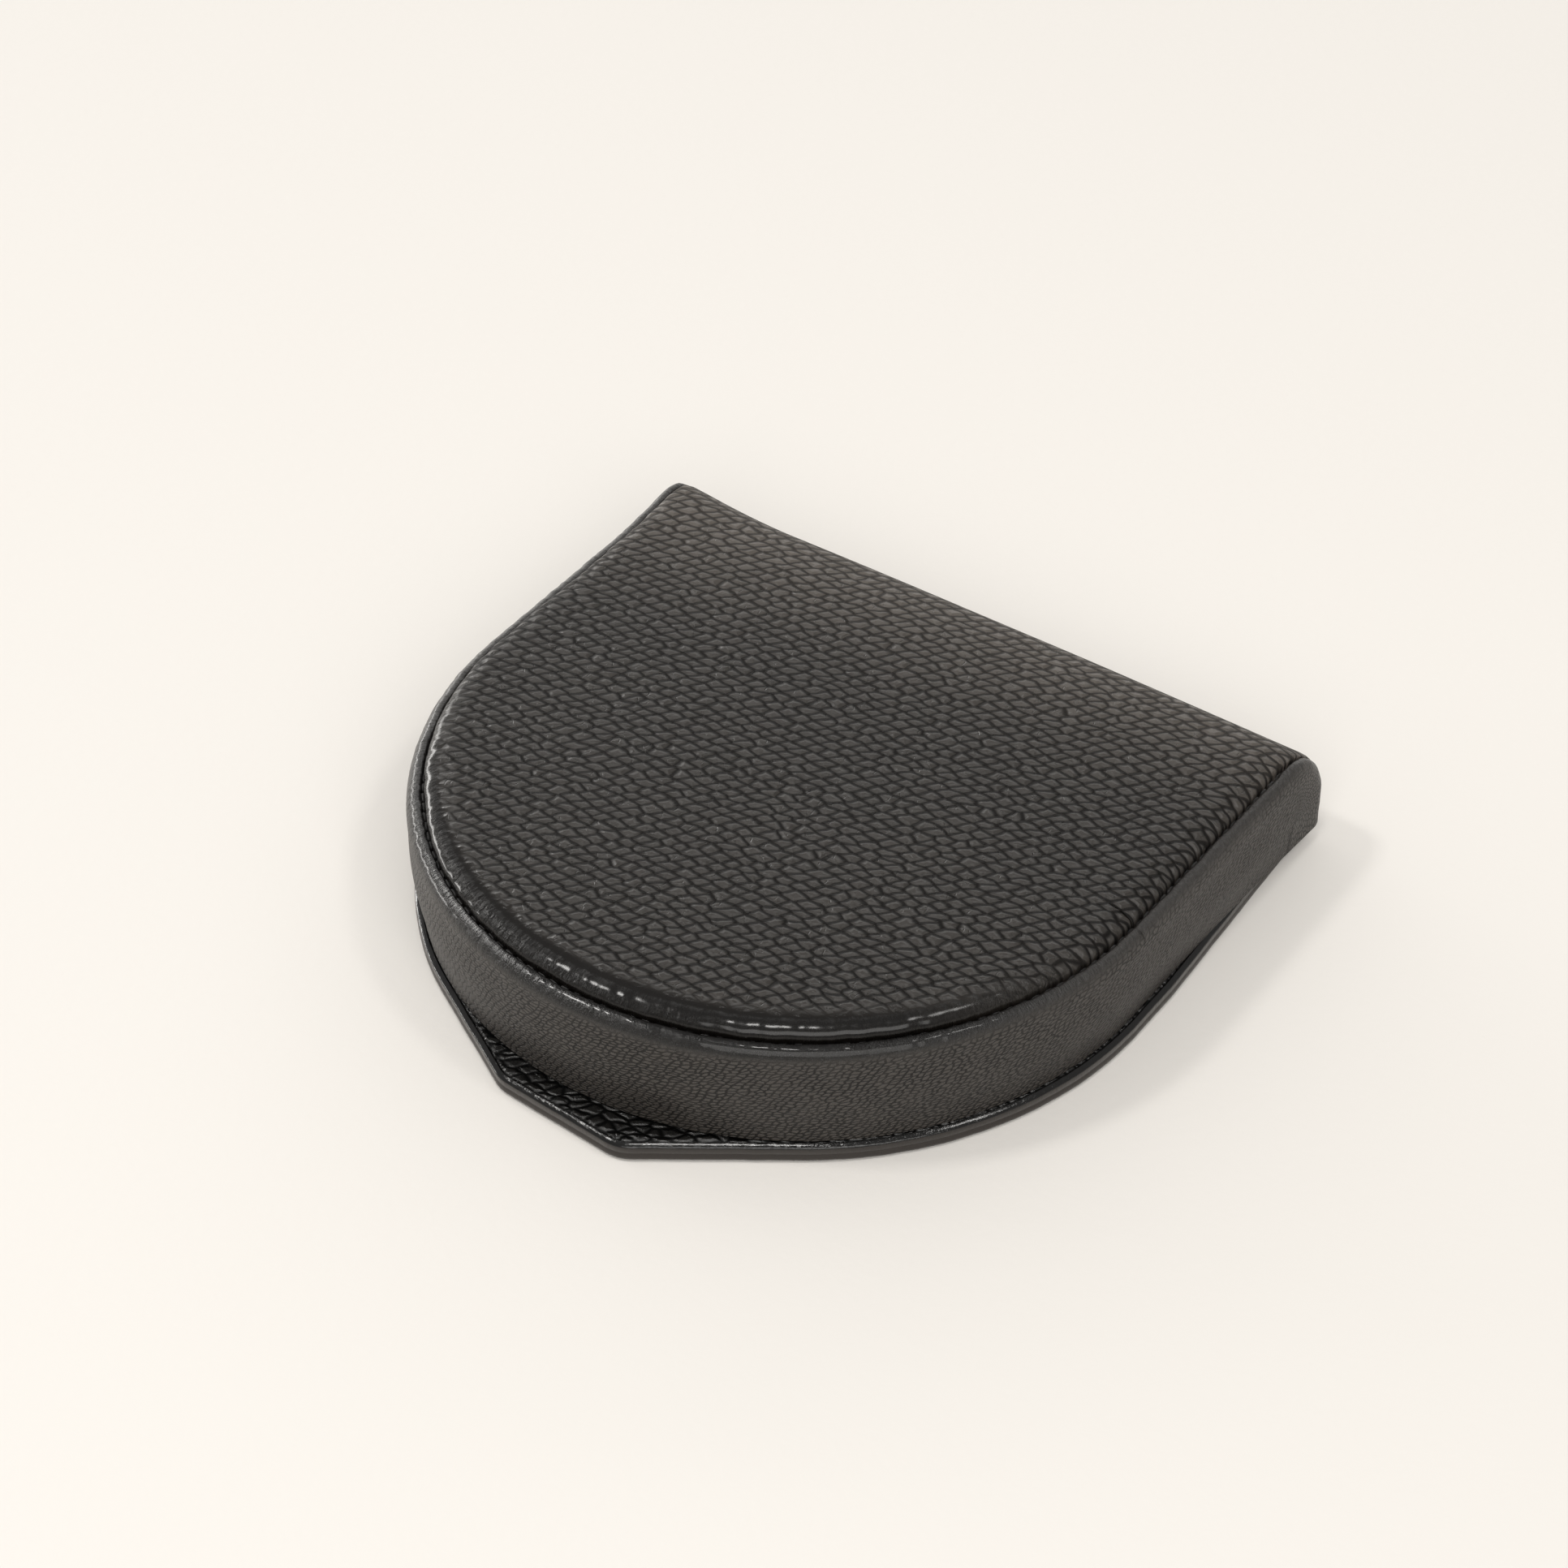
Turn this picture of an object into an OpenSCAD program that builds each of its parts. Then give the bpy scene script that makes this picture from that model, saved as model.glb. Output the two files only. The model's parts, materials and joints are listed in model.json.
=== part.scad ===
// Horseshoe coin purse: a padded leather lid hinged to a flat base that carries a coin tray.
// +Z is up, the straight hinged edge lies at +Y and the pull tab at -Y.
// The origin is at the middle of the underside.

/* [Overall] */
// Width across the lid at its widest
width = 80; // [76:1:90]
// Depth from the spine to the tip of the pull tab
depth = 79; // [76:1:88]
// Height of the lid's top seam at the middle of the purse
seam_height = 14.15; // [14:0.05:18]
// Angle by which the lid's top seam climbs towards the round end
rise_angle = 1.48; // [0.5:0.02:1.6]

/* [Lid] */
// Radius of the shoulder between the lid's side and its top seam
shoulder_r = 1.7; // [1.5:0.1:2.5]
// How far the side leans inwards for each millimetre down
side_lean = 0.1; // [0.05:0.01:0.11]
// Rounding of the spine's upper edge
spine_round = 7; // [5:0.1:7.5]
// Rise of the padded top just inside its seam
edge_rise = 0.9; // [0.5:0.1:1.2]
// Further rise of the padded top towards its middle
crown_rise = 1.4; // [0.8:0.1:2.5]
// Width of a seam stitch's thread
thread_d = 0.4; // [0.3:0.05:0.4]
// Spacing of the stitches
stitch_pitch = 3; // [2.5:0.1:4]

/* [Base] */
// Thickness of the base with both of its leathers
base_t = 2.2; // [2:0.1:2.3]
// How far the pull tab reaches past the round end of the lid
tab_reach = 2.8; // [2:0.1:5]
// Half the width of the pull tab's straight tip
tab_half = 10.2; // [7:0.1:14]
// How much further back the tab's left corner sits than its right one
tab_skew = 1; // [0:0.1:2]
// Thickness of the lacquer around the edge of the base
lacquer_t = 0.35; // [0.2:0.05:0.5]

/* [Tray] */
// Height of the tray's wall above the underside of the purse
tray_top = 8.8; // [7:0.1:9]
// Clearance between the lid's rim and the tray, measured at the rim
tray_clearance = 0.7; // [0.7:0.05:1.5]
// Radius of the scoop that is cut out of the coin cover
scoop_r = 45; // [42:1:60]
// How far behind the middle of the round end the scoop reaches
scoop_reach = 3.7; // [0:0.1:8]

/* [Hidden] */
$fn = 96;

far = 100;                // larger than the purse, for cutting solids
eps = 0.01;               // overlap that joins two shapes into one
gap = 0.05;               // air between layers that lie on each other
leather_t = 0.8;          // cover leather
stiffener_t = 0.85;       // fibreboard in the lid's side and spine
lining_t = 0.45;          // lining inside the lid
skin_t = 0.5;             // thin leather on the tray
board_t = 1;              // fibreboard of the tray's wall and of the lid's top

half_w = width / 2;
rear_y = depth / 2;
arc_y = half_w + tab_reach - rear_y;     // centre of the round end
seam_r = half_w - shoulder_r;            // the top seam's radius
seam_depth = 30;                         // how far down the lid's section is drawn
flange_r = seam_r - 2.8;                 // the side leather is turned in this far at the seam
spine_start_y = rear_y - spine_round;    // where the top turns down into the spine
side_stop_y = rear_y - 2.4;              // the side's inner layers stop at the spine's layers
lip_reach = 2.2;                         // width of the padded top's rolled lip
crown_reach = 30;                        // and of the slope behind it
crown_edge = 0.3;                        // gap from the seam to the padded top
crown_pull = 1.05;                       // steps of the slope at the rear, against the sides'

lid_bottom = base_t + 0.2;               // the lid's rim, just clear of the base
hem_t = 0.8;                             // turned leather under the rim
wall_t = leather_t + stiffener_t + lining_t + 2 * gap;
rim_drop = seam_height + (half_w - arc_y) * sin(rise_angle) - lid_bottom;
rim_r = half_w - wall_t - side_lean * (rim_drop - shoulder_r);

outer_leather_t = 0.9;                   // lower leather of the base
base_core_t = 0.6;                       // stiffener inside the base
base_core_inset = 1.5;
flap_r = half_w - 0.2 - lacquer_t;
flap_rear_half = half_w - 2;
tab_corner_r = 4;
arc_steps = 30;
corner_steps = 10;
taper_start_y = arc_y + 6;
base_rear_y = rear_y - 1.3;              // the base ends in front of the hinge leather
hinge_leg = 4.7;                         // how far the hinge leather runs under the base
hinge_top = 5;                           // and how high it climbs the spine
hinge_half = flap_rear_half - 0.1;
hinge_outer_y = rear_y - 0.3;
spine_board_in = 1;                      // depth of the spine's board from its outer face
spine_in = spine_board_in + stiffener_t + gap + lining_t;
spine_half = rim_r + 0.9;

tray_r = rim_r - tray_clearance;
tray_rear_y = rear_y - 3.6;
tray_wall_t = 2 * skin_t + board_t;
hinge_strip_t = 0.3;                     // the thin lining across the hinge
hinge_strip_half = tray_r - 0.3;
cover_lining_t = 0.4;
cover_t = 1;
cover_lining_inset = 0.6;
cover_stitch_inset = 1;
stitch_share = 0.75;                     // length of a stitch, against its spacing

// Everything in the lid is drawn about its seam plane, which climbs towards the round end.
module lid_frame() {
    translate([0, 0, seam_height]) rotate([-rise_angle, 0, 0]) children();
}

module above(z) {
    difference() {
        children();
        translate([-far, -far, z - far]) cube([2 * far, 2 * far, far]);
    }
}

// A round end of radius r with straight sides that run back to y = rear.
module horseshoe(r, rear) {
    intersection() {
        union() {
            translate([0, arc_y]) circle(r);
            translate([-r, arc_y]) square([2 * r, far]);
        }
        translate([-far, rear - 2 * far]) square(2 * far);
    }
}

module horseshoe_plate(r, rear, z0, z1) {
    translate([0, 0, z0]) linear_extrude(z1 - z0) horseshoe(r, rear);
}

module horseshoe_wall(r, rear, t, z0, z1) {
    translate([0, 0, z0]) linear_extrude(z1 - z0) difference() {
        horseshoe(r, rear);
        horseshoe(r - t, rear - t);
    }
}

// ---- lid sections, in radius and height from the seam plane ----

function side_r(inset, w) = half_w - inset + side_lean * (w + shoulder_r);

// The right half of the lid's cross-section, inset by a layer's depth.
module lid_section(inset) {
    if (inset < shoulder_r) {
        polygon([
            [0, -seam_depth], [side_r(inset, -seam_depth), -seam_depth],
            [half_w - inset, -shoulder_r], [seam_r, -shoulder_r], [seam_r, -inset], [0, -inset]
        ]);
        intersection() {
            translate([seam_r, -shoulder_r]) circle(shoulder_r - inset);
            translate([seam_r - eps, -shoulder_r]) square(shoulder_r);
        }
    } else {
        polygon([
            [0, -seam_depth], [side_r(inset, -seam_depth), -seam_depth],
            [side_r(inset, -inset), -inset], [0, -inset]
        ]);
    }
}

// A layer of the side, between two depths, without its part nearer the middle than roof_r.
module side_layer(outer, inner, roof_r) {
    difference() {
        lid_section(outer);
        lid_section(inner);
        translate([0, -inner - eps]) square([roof_r, far]);
    }
}

// Sweeps a half section along the lid's side, round the end and back to y = rear.
module sweep_side(rear) {
    translate([0, arc_y, 0]) rotate([0, 0, 180]) rotate_extrude(angle = 180) children();
    for (side = [0, 1])
        mirror([side, 0, 0])
            translate([0, rear, 0]) rotate([90, 0, 0]) linear_extrude(rear - arc_y) children();
}

// The lid's side view inset by a depth, extruded across the purse.
module spine_envelope(inset) {
    rotate([90, 0, 90]) linear_extrude(2 * far, center = true) {
        translate([-far, -seam_depth]) square([far + spine_start_y, seam_depth - inset]);
        translate([-far, -seam_depth])
            square([far + rear_y - inset, seam_depth - spine_round]);
        translate([spine_start_y, -spine_round]) circle(spine_round - inset);
    }
}

// The space between the lid's two sides, as wide as they leave it, behind y = front.
module between_sides(inset, front) {
    right = [
        [side_r(inset, -seam_depth), -seam_depth], [half_w - inset, -shoulder_r],
        [seam_r - gap, -shoulder_r], [seam_r - gap, far]
    ];
    left = [for (i = [3 : -1 : 0]) [-right[i][0], right[i][1]]];
    translate([0, rear_y + 1, 0]) rotate([90, 0, 0]) linear_extrude(rear_y + 1 - front)
        polygon(concat(right, left));
}

// ---- base ----

// The base's outline: a round end that runs out into the pull tab along its tangents, and
// sides that taper towards the hinge, up to y = rear. It is drawn round in direction a,
// measured from the tab towards the side.
function towards(a) = [sin(a), -cos(a)];
function flap_half(y, grow) =
    flap_r + grow - (flap_r - flap_rear_half) * (y - taper_start_y) / (base_rear_y - taper_start_y);
// The centre of the tab's corner on a side, 1 for the right and -1 for the left
function tab_corner(side) = [
    side * (tab_half - tab_corner_r),
    -rear_y + lacquer_t + tab_corner_r + (side < 0 ? tab_skew : 0)
];
function tab_turn(side) =
    let (reach = [0, arc_y] - tab_corner(side))
    atan2(abs(reach[0]), reach[1]) + acos((flap_r - tab_corner_r) / norm(reach));
function flap_side(side, grow, rear) =
    let (
        turn = side * tab_turn(side),
        front = -atan2(tab_skew, 2 * (tab_half - tab_corner_r))
    )
    concat(
        [[side * flap_half(rear, grow), rear], [side * (flap_r + grow), taper_start_y]],
        [for (i = [0 : arc_steps])
            [0, arc_y] + (flap_r + grow) * towards(side * 90 + (turn - side * 90) * i / arc_steps)],
        [for (i = [0 : corner_steps])
            tab_corner(side)
                + (tab_corner_r + grow) * towards(turn + (front - turn) * i / corner_steps)]
    );

module flap_plate(grow, z0, z1, rear = base_rear_y) {
    right = flap_side(1, grow, rear);
    left = flap_side(-1, grow, rear);
    translate([0, 0, z0]) linear_extrude(z1 - z0)
        polygon(concat(right, [for (i = [len(left) - 1 : -1 : 0]) left[i]]));
}

module base_outer_leather() {
    color("#232120") flap_plate(0, 0, outer_leather_t, base_rear_y - hinge_leg);
}

module base_core(grow) {
    flap_plate(grow - base_core_inset, outer_leather_t, outer_leather_t + base_core_t + grow,
               base_rear_y - base_core_inset + grow);
}

module base_stiffener() {
    color("#8a6a4a") base_core(0);
}

module base_inner_leather() {
    color("#1b1a1a") difference() {
        flap_plate(0, outer_leather_t, base_t);
        translate([0, 0, -gap]) base_core(gap);
    }
}

module base_edge_lacquer() {
    color("#0e0d0d") difference() {
        flap_plate(lacquer_t, 0.05, base_t - 0.05, base_rear_y - hinge_leg);
        flap_plate(0, 0, base_t);
    }
}

// ---- tray on the base ----

module tray_wall_board() {
    color("#8a6a4a")
        horseshoe_wall(tray_r - skin_t, tray_rear_y - skin_t, board_t, base_t, tray_top - skin_t);
}

// Outer skin of the tray's wall, turned over its top edge.
module tray_wall_leather() {
    color("#1d1b1b") {
        horseshoe_wall(tray_r, tray_rear_y, skin_t, base_t, tray_top);
        horseshoe_wall(tray_r - skin_t / 2, tray_rear_y - skin_t / 2, tray_wall_t - skin_t / 2,
                       tray_top - skin_t, tray_top);
    }
}

module tray_wall_lining() {
    color("#2b2927")
        horseshoe_wall(tray_r - skin_t - board_t, tray_rear_y - skin_t - board_t, skin_t,
                       base_t, tray_top - skin_t);
}

module tray_floor_lining() {
    color("#2b2927")
        horseshoe_plate(tray_r - tray_wall_t - gap, tray_rear_y - tray_wall_t - gap,
                        base_t, base_t + skin_t);
}

// The part of the tray's outline behind a shallow scoop.
module cover_outline(inset) {
    scoop_y = arc_y + scoop_reach - scoop_r;
    difference() {
        horseshoe(tray_r - inset, tray_rear_y - inset);
        translate([0, scoop_y]) circle(scoop_r + inset);
        translate([-far, scoop_y - far]) square([2 * far, far]);
    }
}

module coin_cover_lining() {
    color("#2b2927") translate([0, 0, tray_top]) linear_extrude(cover_lining_t)
        cover_outline(cover_lining_inset);
}

module coin_cover_leather() {
    color("#1d1b1b") translate([0, 0, tray_top + cover_lining_t])
        linear_extrude(cover_t - cover_lining_t) cover_outline(0);
}

module stitch(length, d) {
    rotate([90, 0, 0]) cylinder(h = length, d = d, center = true, $fn = 24);
}

module coin_cover_stitches() {
    stitch_x = tray_r - cover_stitch_inset;
    count = floor((tray_rear_y - arc_y - 3) / stitch_pitch);
    color("#101010") for (side = [-1, 1]) for (i = [0 : count])
        translate([side * stitch_x, arc_y + 1 + i * stitch_pitch, tray_top + cover_t + thread_d / 2])
            stitch(stitch_pitch * stitch_share, thread_d);
}

// ---- hinge ----

// Outer leather that turns the rear bottom corner and bends as the lid opens.
module hinge_leather() {
    color("#232120") rotate([90, 0, 90]) linear_extrude(2 * hinge_half, center = true) {
        corner_r = hinge_outer_y - base_rear_y;
        translate([base_rear_y - hinge_leg + gap, 0]) square([hinge_leg - gap, outer_leather_t]);
        intersection() {
            translate([base_rear_y, corner_r]) circle(corner_r);
            translate([base_rear_y, 0]) square(corner_r);
        }
        translate([hinge_outer_y - outer_leather_t, corner_r - eps])
            square([outer_leather_t, hinge_top - corner_r + eps]);
    }
}

// Thin lining strip inside the hinge, behind the tray.
module hinge_lining() {
    strip_y = tray_rear_y + 2 * gap;
    strip_z = base_t + 0.02;
    spine_face = rear_y - spine_in - 0.4;
    color("#2b2927") rotate([90, 0, 90]) linear_extrude(2 * hinge_strip_half, center = true) {
        translate([strip_y, strip_z]) square([spine_face - strip_y, hinge_strip_t]);
        translate([spine_face - hinge_strip_t, strip_z])
            square([hinge_strip_t, hinge_top + 2 - base_t]);
    }
}

// ---- lid ----

// Side leather from the top seam down to the rim, turned under the other layers.
module side_band_leather() {
    hem_in = wall_t - gap;
    color("#262423") difference() {
        union() {
            above(lid_bottom) lid_frame() intersection() {
                sweep_side(rear_y) side_layer(0, leather_t, flange_r);
                spine_envelope(0);
            }
            difference() {
                above(lid_bottom) lid_frame()
                    sweep_side(side_stop_y) side_layer(leather_t - 2 * gap, hem_in, half_w - hem_in);
                translate([-far, -far, lid_bottom + hem_t]) cube(2 * far);
            }
        }
        lid_frame() between_sides(leather_t, spine_start_y);
    }
}

module side_band_stiffener() {
    color("#8a6a4a") above(lid_bottom + hem_t + gap) lid_frame() intersection() {
        sweep_side(side_stop_y)
            side_layer(leather_t + gap, leather_t + stiffener_t, seam_r - 2 * gap);
        spine_envelope(leather_t + gap);
    }
}

module side_band_lining() {
    outer = leather_t + stiffener_t + gap;
    color("#2b2927") above(lid_bottom + hem_t + gap) lid_frame() intersection() {
        sweep_side(side_stop_y) side_layer(outer, outer + lining_t, half_w);
        spine_envelope(leather_t + gap);
    }
}

// Rise of the padded top above the seam plane at a distance in from its seam.
function crown_w(i) =
    edge_rise * sqrt(1 - pow(1 - min(i / lip_reach, 1), 2)) +
    crown_rise * (1 - pow(1 - min(i / crown_reach, 1), 2));

crown_steps = [0, 0.15, 0.5, 1.2, 2.2, 5, 9, 14, 20, 27];

// The padded top: a pillow that falls to the seam all round and to the spine's rounding.
module crown(inset, drop) {
    hull() for (i = crown_steps)
        translate([0, 0, crown_w(i) - drop]) linear_extrude(2 * eps)
            horseshoe(seam_r - crown_edge - inset - i,
                      spine_start_y - inset / 4 - i * crown_pull, $fn = 64);
}

module top_leather() {
    color("#2a2827") lid_frame() difference() {
        crown(0, 0);
        translate([0, 0, -eps]) crown(leather_t, leather_t * 0.9);
        translate([-far, -far, -2 * far + eps]) cube(2 * far);
    }
}

module top_foam() {
    color("#c9c2b4") lid_frame() {
        intersection() {
            translate([0, 0, -gap]) crown(leather_t, leather_t * 0.9);
            translate([-far, -far, gap]) cube(2 * far);
        }
        horseshoe_plate(flange_r - gap, spine_start_y - 1.8, -leather_t, 2 * gap);
    }
}

module top_board() {
    color("#8a6a4a") lid_frame()
        horseshoe_plate(seam_r - 3 * gap, spine_start_y + 0.2, -leather_t - board_t, -leather_t - gap);
}

module top_lining() {
    top = leather_t + board_t + gap;
    color("#2b2927") lid_frame() intersection() {
        horseshoe_plate(side_r(wall_t, -top - lining_t) - gap, rear_y - 2.5,
                        -top - lining_t, -top);
        spine_envelope(leather_t + gap);
    }
}

module spine_leather() {
    color("#2a2827") above(hinge_top + gap) lid_frame() difference() {
        intersection() {
            spine_envelope(0);
            between_sides(leather_t + gap, spine_start_y + gap);
        }
        spine_envelope(leather_t);
    }
}

// A flat layer of the spine between two depths from its outer face.
module spine_layer(outer, inner) {
    intersection() {
        translate([-spine_half, rear_y - inner, -seam_depth])
            cube([2 * spine_half, inner - outer, seam_depth - leather_t - board_t - 2 * gap]);
        spine_envelope(leather_t + gap);
    }
}

module spine_board() {
    color("#8a6a4a") above(lid_bottom) lid_frame()
        spine_layer(spine_board_in, spine_board_in + stiffener_t);
}

module spine_lining() {
    color("#2b2927") above(lid_bottom) lid_frame()
        spine_layer(spine_board_in + stiffener_t + gap, spine_in);
}

// Thread of the top seam, lying in the groove between the top and the side.
module lid_seam_stitches() {
    r = seam_r - gap;
    long = stitch_pitch * stitch_share;
    turns = round(r * PI / stitch_pitch);
    count = floor((spine_start_y - arc_y - long) / stitch_pitch);
    color("#101010") lid_frame() translate([0, 0, thread_d / 2 + eps]) {
        for (i = [0 : turns - 1])
            translate([0, arc_y, 0]) rotate([0, 0, 180 + (i + 0.5) * 180 / turns])
                translate([r, 0, 0]) stitch(long, thread_d);
        for (side = [-1, 1]) for (i = [0 : count])
            translate([side * r, arc_y + (i + 0.5) * stitch_pitch, 0]) stitch(long, thread_d);
    }
}

base_outer_leather();
base_stiffener();
base_inner_leather();
base_edge_lacquer();
tray_wall_board();
tray_wall_leather();
tray_wall_lining();
tray_floor_lining();
coin_cover_lining();
coin_cover_leather();
coin_cover_stitches();
hinge_leather();
hinge_lining();
side_band_leather();
side_band_stiffener();
side_band_lining();
top_leather();
top_foam();
top_board();
top_lining();
spine_leather();
spine_board();
spine_lining();
lid_seam_stitches();
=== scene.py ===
"""Looks of a horseshoe coin purse: a padded leather lid hinged on a flat base with a coin tray.

Lengths named in this file are in millimetres, and they become metres when a mesh is made.
"""

import json
import math

import bmesh
import bpy
import numpy as np
from mathutils import Matrix, Vector


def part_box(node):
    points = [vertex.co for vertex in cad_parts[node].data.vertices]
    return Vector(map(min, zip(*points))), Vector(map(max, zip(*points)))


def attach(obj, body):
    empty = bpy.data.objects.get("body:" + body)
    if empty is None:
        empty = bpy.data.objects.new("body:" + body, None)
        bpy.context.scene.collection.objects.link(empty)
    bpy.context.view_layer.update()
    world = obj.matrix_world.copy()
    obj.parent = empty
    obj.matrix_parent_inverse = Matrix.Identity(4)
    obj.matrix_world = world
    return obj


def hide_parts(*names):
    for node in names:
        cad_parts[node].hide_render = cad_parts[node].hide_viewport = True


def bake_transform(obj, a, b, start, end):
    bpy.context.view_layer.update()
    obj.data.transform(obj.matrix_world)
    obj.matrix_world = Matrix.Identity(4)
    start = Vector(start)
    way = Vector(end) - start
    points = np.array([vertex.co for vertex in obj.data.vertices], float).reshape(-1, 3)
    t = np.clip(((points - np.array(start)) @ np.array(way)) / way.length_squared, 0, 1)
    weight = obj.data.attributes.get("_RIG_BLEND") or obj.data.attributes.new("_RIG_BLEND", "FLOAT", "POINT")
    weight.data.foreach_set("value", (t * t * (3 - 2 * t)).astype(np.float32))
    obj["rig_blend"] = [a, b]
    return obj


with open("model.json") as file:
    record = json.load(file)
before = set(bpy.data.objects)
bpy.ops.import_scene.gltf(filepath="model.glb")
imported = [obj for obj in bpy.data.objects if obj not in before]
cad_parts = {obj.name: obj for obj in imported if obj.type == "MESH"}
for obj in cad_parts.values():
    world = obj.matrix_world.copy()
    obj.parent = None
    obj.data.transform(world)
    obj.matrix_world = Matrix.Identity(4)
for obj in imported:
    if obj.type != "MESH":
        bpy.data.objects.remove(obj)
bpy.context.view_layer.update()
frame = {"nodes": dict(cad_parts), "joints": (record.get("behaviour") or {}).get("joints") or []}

MM = 0.001

# ---- sizes from the frame


def corners(node):
    """Lowest and highest corner of a CAD node, in millimetres."""
    low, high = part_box(node)
    return np.array(low) / MM, np.array(high) / MM


band_low, band_high = corners("side_band_leather")
edge_low, edge_high = corners("base_edge_lacquer")
hinge_low, hinge_high = corners("hinge_leather")
_, outer_high = corners("base_outer_leather")
_, inner_high = corners("base_inner_leather")
spine_lining_low, _ = corners("spine_lining")
_, hinge_lining_high = corners("hinge_lining")
_, wall_high = corners("tray_wall_leather")
_, floor_high = corners("tray_floor_lining")
cover_low, cover_high = corners("coin_cover_leather")

QUARTER = math.pi / 2
HALF_W = band_high[0]
RIM_Z = band_low[2]
TILT = math.radians(1.48)        # how far the lid's top climbs towards the round end
SEAM_MID = 14.15                 # height of the seam plane over the middle of the underside
SIDE_LEAN = 0.1                  # how far the side leans in for each millimetre down
SHOULDER = 1.7                   # height of the rounded shoulder under the seam
REAR_Y = 39.5                    # outer face of the spine, in the lid's own frame
SPINE_ROUND = 7.0                # rounding of the spine's upper edge
CORNER_LIFT = 1.5                # how much higher the left end of that edge stands
TAB_REACH = 2.8                  # how far the pull tab reaches past the lid's round end
ARC_Y = HALF_W + TAB_REACH + edge_low[1]     # centre of the round end
HINGE_AT = Vector(frame["joints"][0]["pos_m"]) / MM

# ---- small tools


def smooth_noise(s, period, seed):
    """Smooth random values from -1 to 1 along s, with a knot every period."""
    rng = np.random.default_rng(seed)
    count = int(np.ceil((s.max() - s.min()) / period)) + 4
    knots = rng.uniform(-1, 1, count)
    at = (s - s.min()) / period
    i = np.floor(at).astype(int)
    f = at - i
    f = f * f * (3 - 2 * f)
    return knots[i] * (1 - f) + knots[i + 1] * f


def share(value, start, end):
    """How far a value has come from start to end, held between 0 and 1."""
    return np.clip((value - start) / (end - start), 0, 1)


def unit(rows):
    """Each row as a direction of length 1."""
    return rows / np.linalg.norm(rows, axis=1)[:, None]


def distance_along(points):
    """Distance along a path of points, at each of them."""
    return np.concatenate([[0], np.cumsum(np.linalg.norm(np.diff(points, axis=0), axis=1))])


def at_height(outline, z):
    """Points of an outline seen from above, all at one height."""
    return np.column_stack([outline, np.full(len(outline), z)])


def lid_to_world(p):
    """Points given about the seam plane, in the purse's own frame. The left end of the spine
    stands a little higher than the rest."""
    c, s = math.cos(TILT), math.sin(TILT)
    q = np.array(p, float)
    y, w = q[..., 1].copy(), q[..., 2].copy()
    near = share(-q[..., 0], 24, 39) ** 2 * share(y, 24, 36) ** 2
    w += CORNER_LIFT * near * share(w, -9, -2)
    q[..., 1] = y * c + w * s
    q[..., 2] = SEAM_MID - y * s + w * c
    return q


def rim_w(y):
    """Height in the lid's frame of its rim's plane."""
    return (RIM_Z - SEAM_MID + y * math.sin(TILT)) / math.cos(TILT)


def grid_faces(rows, cols, start=0, flip=False, closed=False):
    """Quads of a grid of rows by cols vertices, numbered row by row."""
    r, c = np.meshgrid(np.arange(rows - 1), np.arange(cols if closed else cols - 1), indexing="ij")
    n = (c + 1) % cols
    a, b = r * cols + c, r * cols + n
    d, e = (r + 1) * cols + c, (r + 1) * cols + n
    quads = np.stack([a, b, e, d] if not flip else [a, d, e, b], -1).reshape(-1, 4)
    return quads + start


def add_piece(name, mesh, material, body):
    """A smooth mesh as an object with its material and, if one is given, its body."""
    mesh.shade_smooth()
    mesh.materials.append(material)
    obj = bpy.data.objects.new(name, mesh)
    bpy.context.scene.collection.objects.link(obj)
    if body:
        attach(obj, body)
    return obj


class Surface:
    """Grids of points that are welded into one mesh, with the leather's own coordinates."""

    def __init__(self):
        self.points, self.faces, self.attributes = [], [], {"grain": [], "rim": [], "seam": []}
        self.count = 0

    def grid(self, points, grain, rim=0.0, flip=False, closed=False, seam=None):
        """Rows and columns of points. grain and seam are their places on the leather, and rim is 1
        where the leather is pulled smooth."""
        rows, cols = points.shape[:2]
        self.faces += grid_faces(rows, cols, self.count, flip, closed).tolist()
        self.keep(points, grain, rim, seam)

    def fill(self, ring, grain):
        """One face over a closed flat ring."""
        self.faces.append(list(range(self.count, self.count + len(ring))))
        self.keep(ring, grain, 0.0, None)

    def keep(self, points, grain, rim, seam):
        """Points with their attributes, as long lists."""
        shape = points.shape[:-1]
        for key, value in (("grain", grain), ("seam", seam)):
            full = np.zeros(shape + (3,))
            if value is not None:
                full[..., : value.shape[-1]] = value
            self.attributes[key].append(full.reshape(-1, 3))
        self.attributes["rim"].append(np.broadcast_to(rim, shape).reshape(-1))
        self.points.append(points.reshape(-1, 3))
        self.count += math.prod(shape)

    def piece(self, name, material, slot, body=None, weld=0.004):
        """The welded mesh as a named object, which rides on a body if one is given."""
        mesh = bpy.data.meshes.new(name)
        points = np.vstack(self.points) * MM
        mesh.from_pydata(points.tolist(), [], self.faces)
        for key in ("grain", "seam"):
            layer = mesh.attributes.new(key, "FLOAT_VECTOR", "POINT")
            layer.data.foreach_set("vector", np.vstack(self.attributes[key]).astype(np.float32).ravel())
        rim = mesh.attributes.new("rim", "FLOAT", "POINT")
        rim.data.foreach_set("value", np.concatenate(self.attributes["rim"]).astype(np.float32))
        bm = bmesh.new()
        bm.from_mesh(mesh)
        bmesh.ops.remove_doubles(bm, verts=bm.verts, dist=weld * MM)
        bmesh.ops.triangulate(bm, faces=[f for f in bm.faces if len(f.verts) > 4])
        loose = [v for v in bm.verts if not v.link_faces]
        bmesh.ops.delete(bm, geom=loose, context="VERTS")
        bmesh.ops.recalc_face_normals(bm, faces=bm.faces)
        bm.to_mesh(mesh)
        bm.free()
        return add_piece(name, mesh, material, body)


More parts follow.
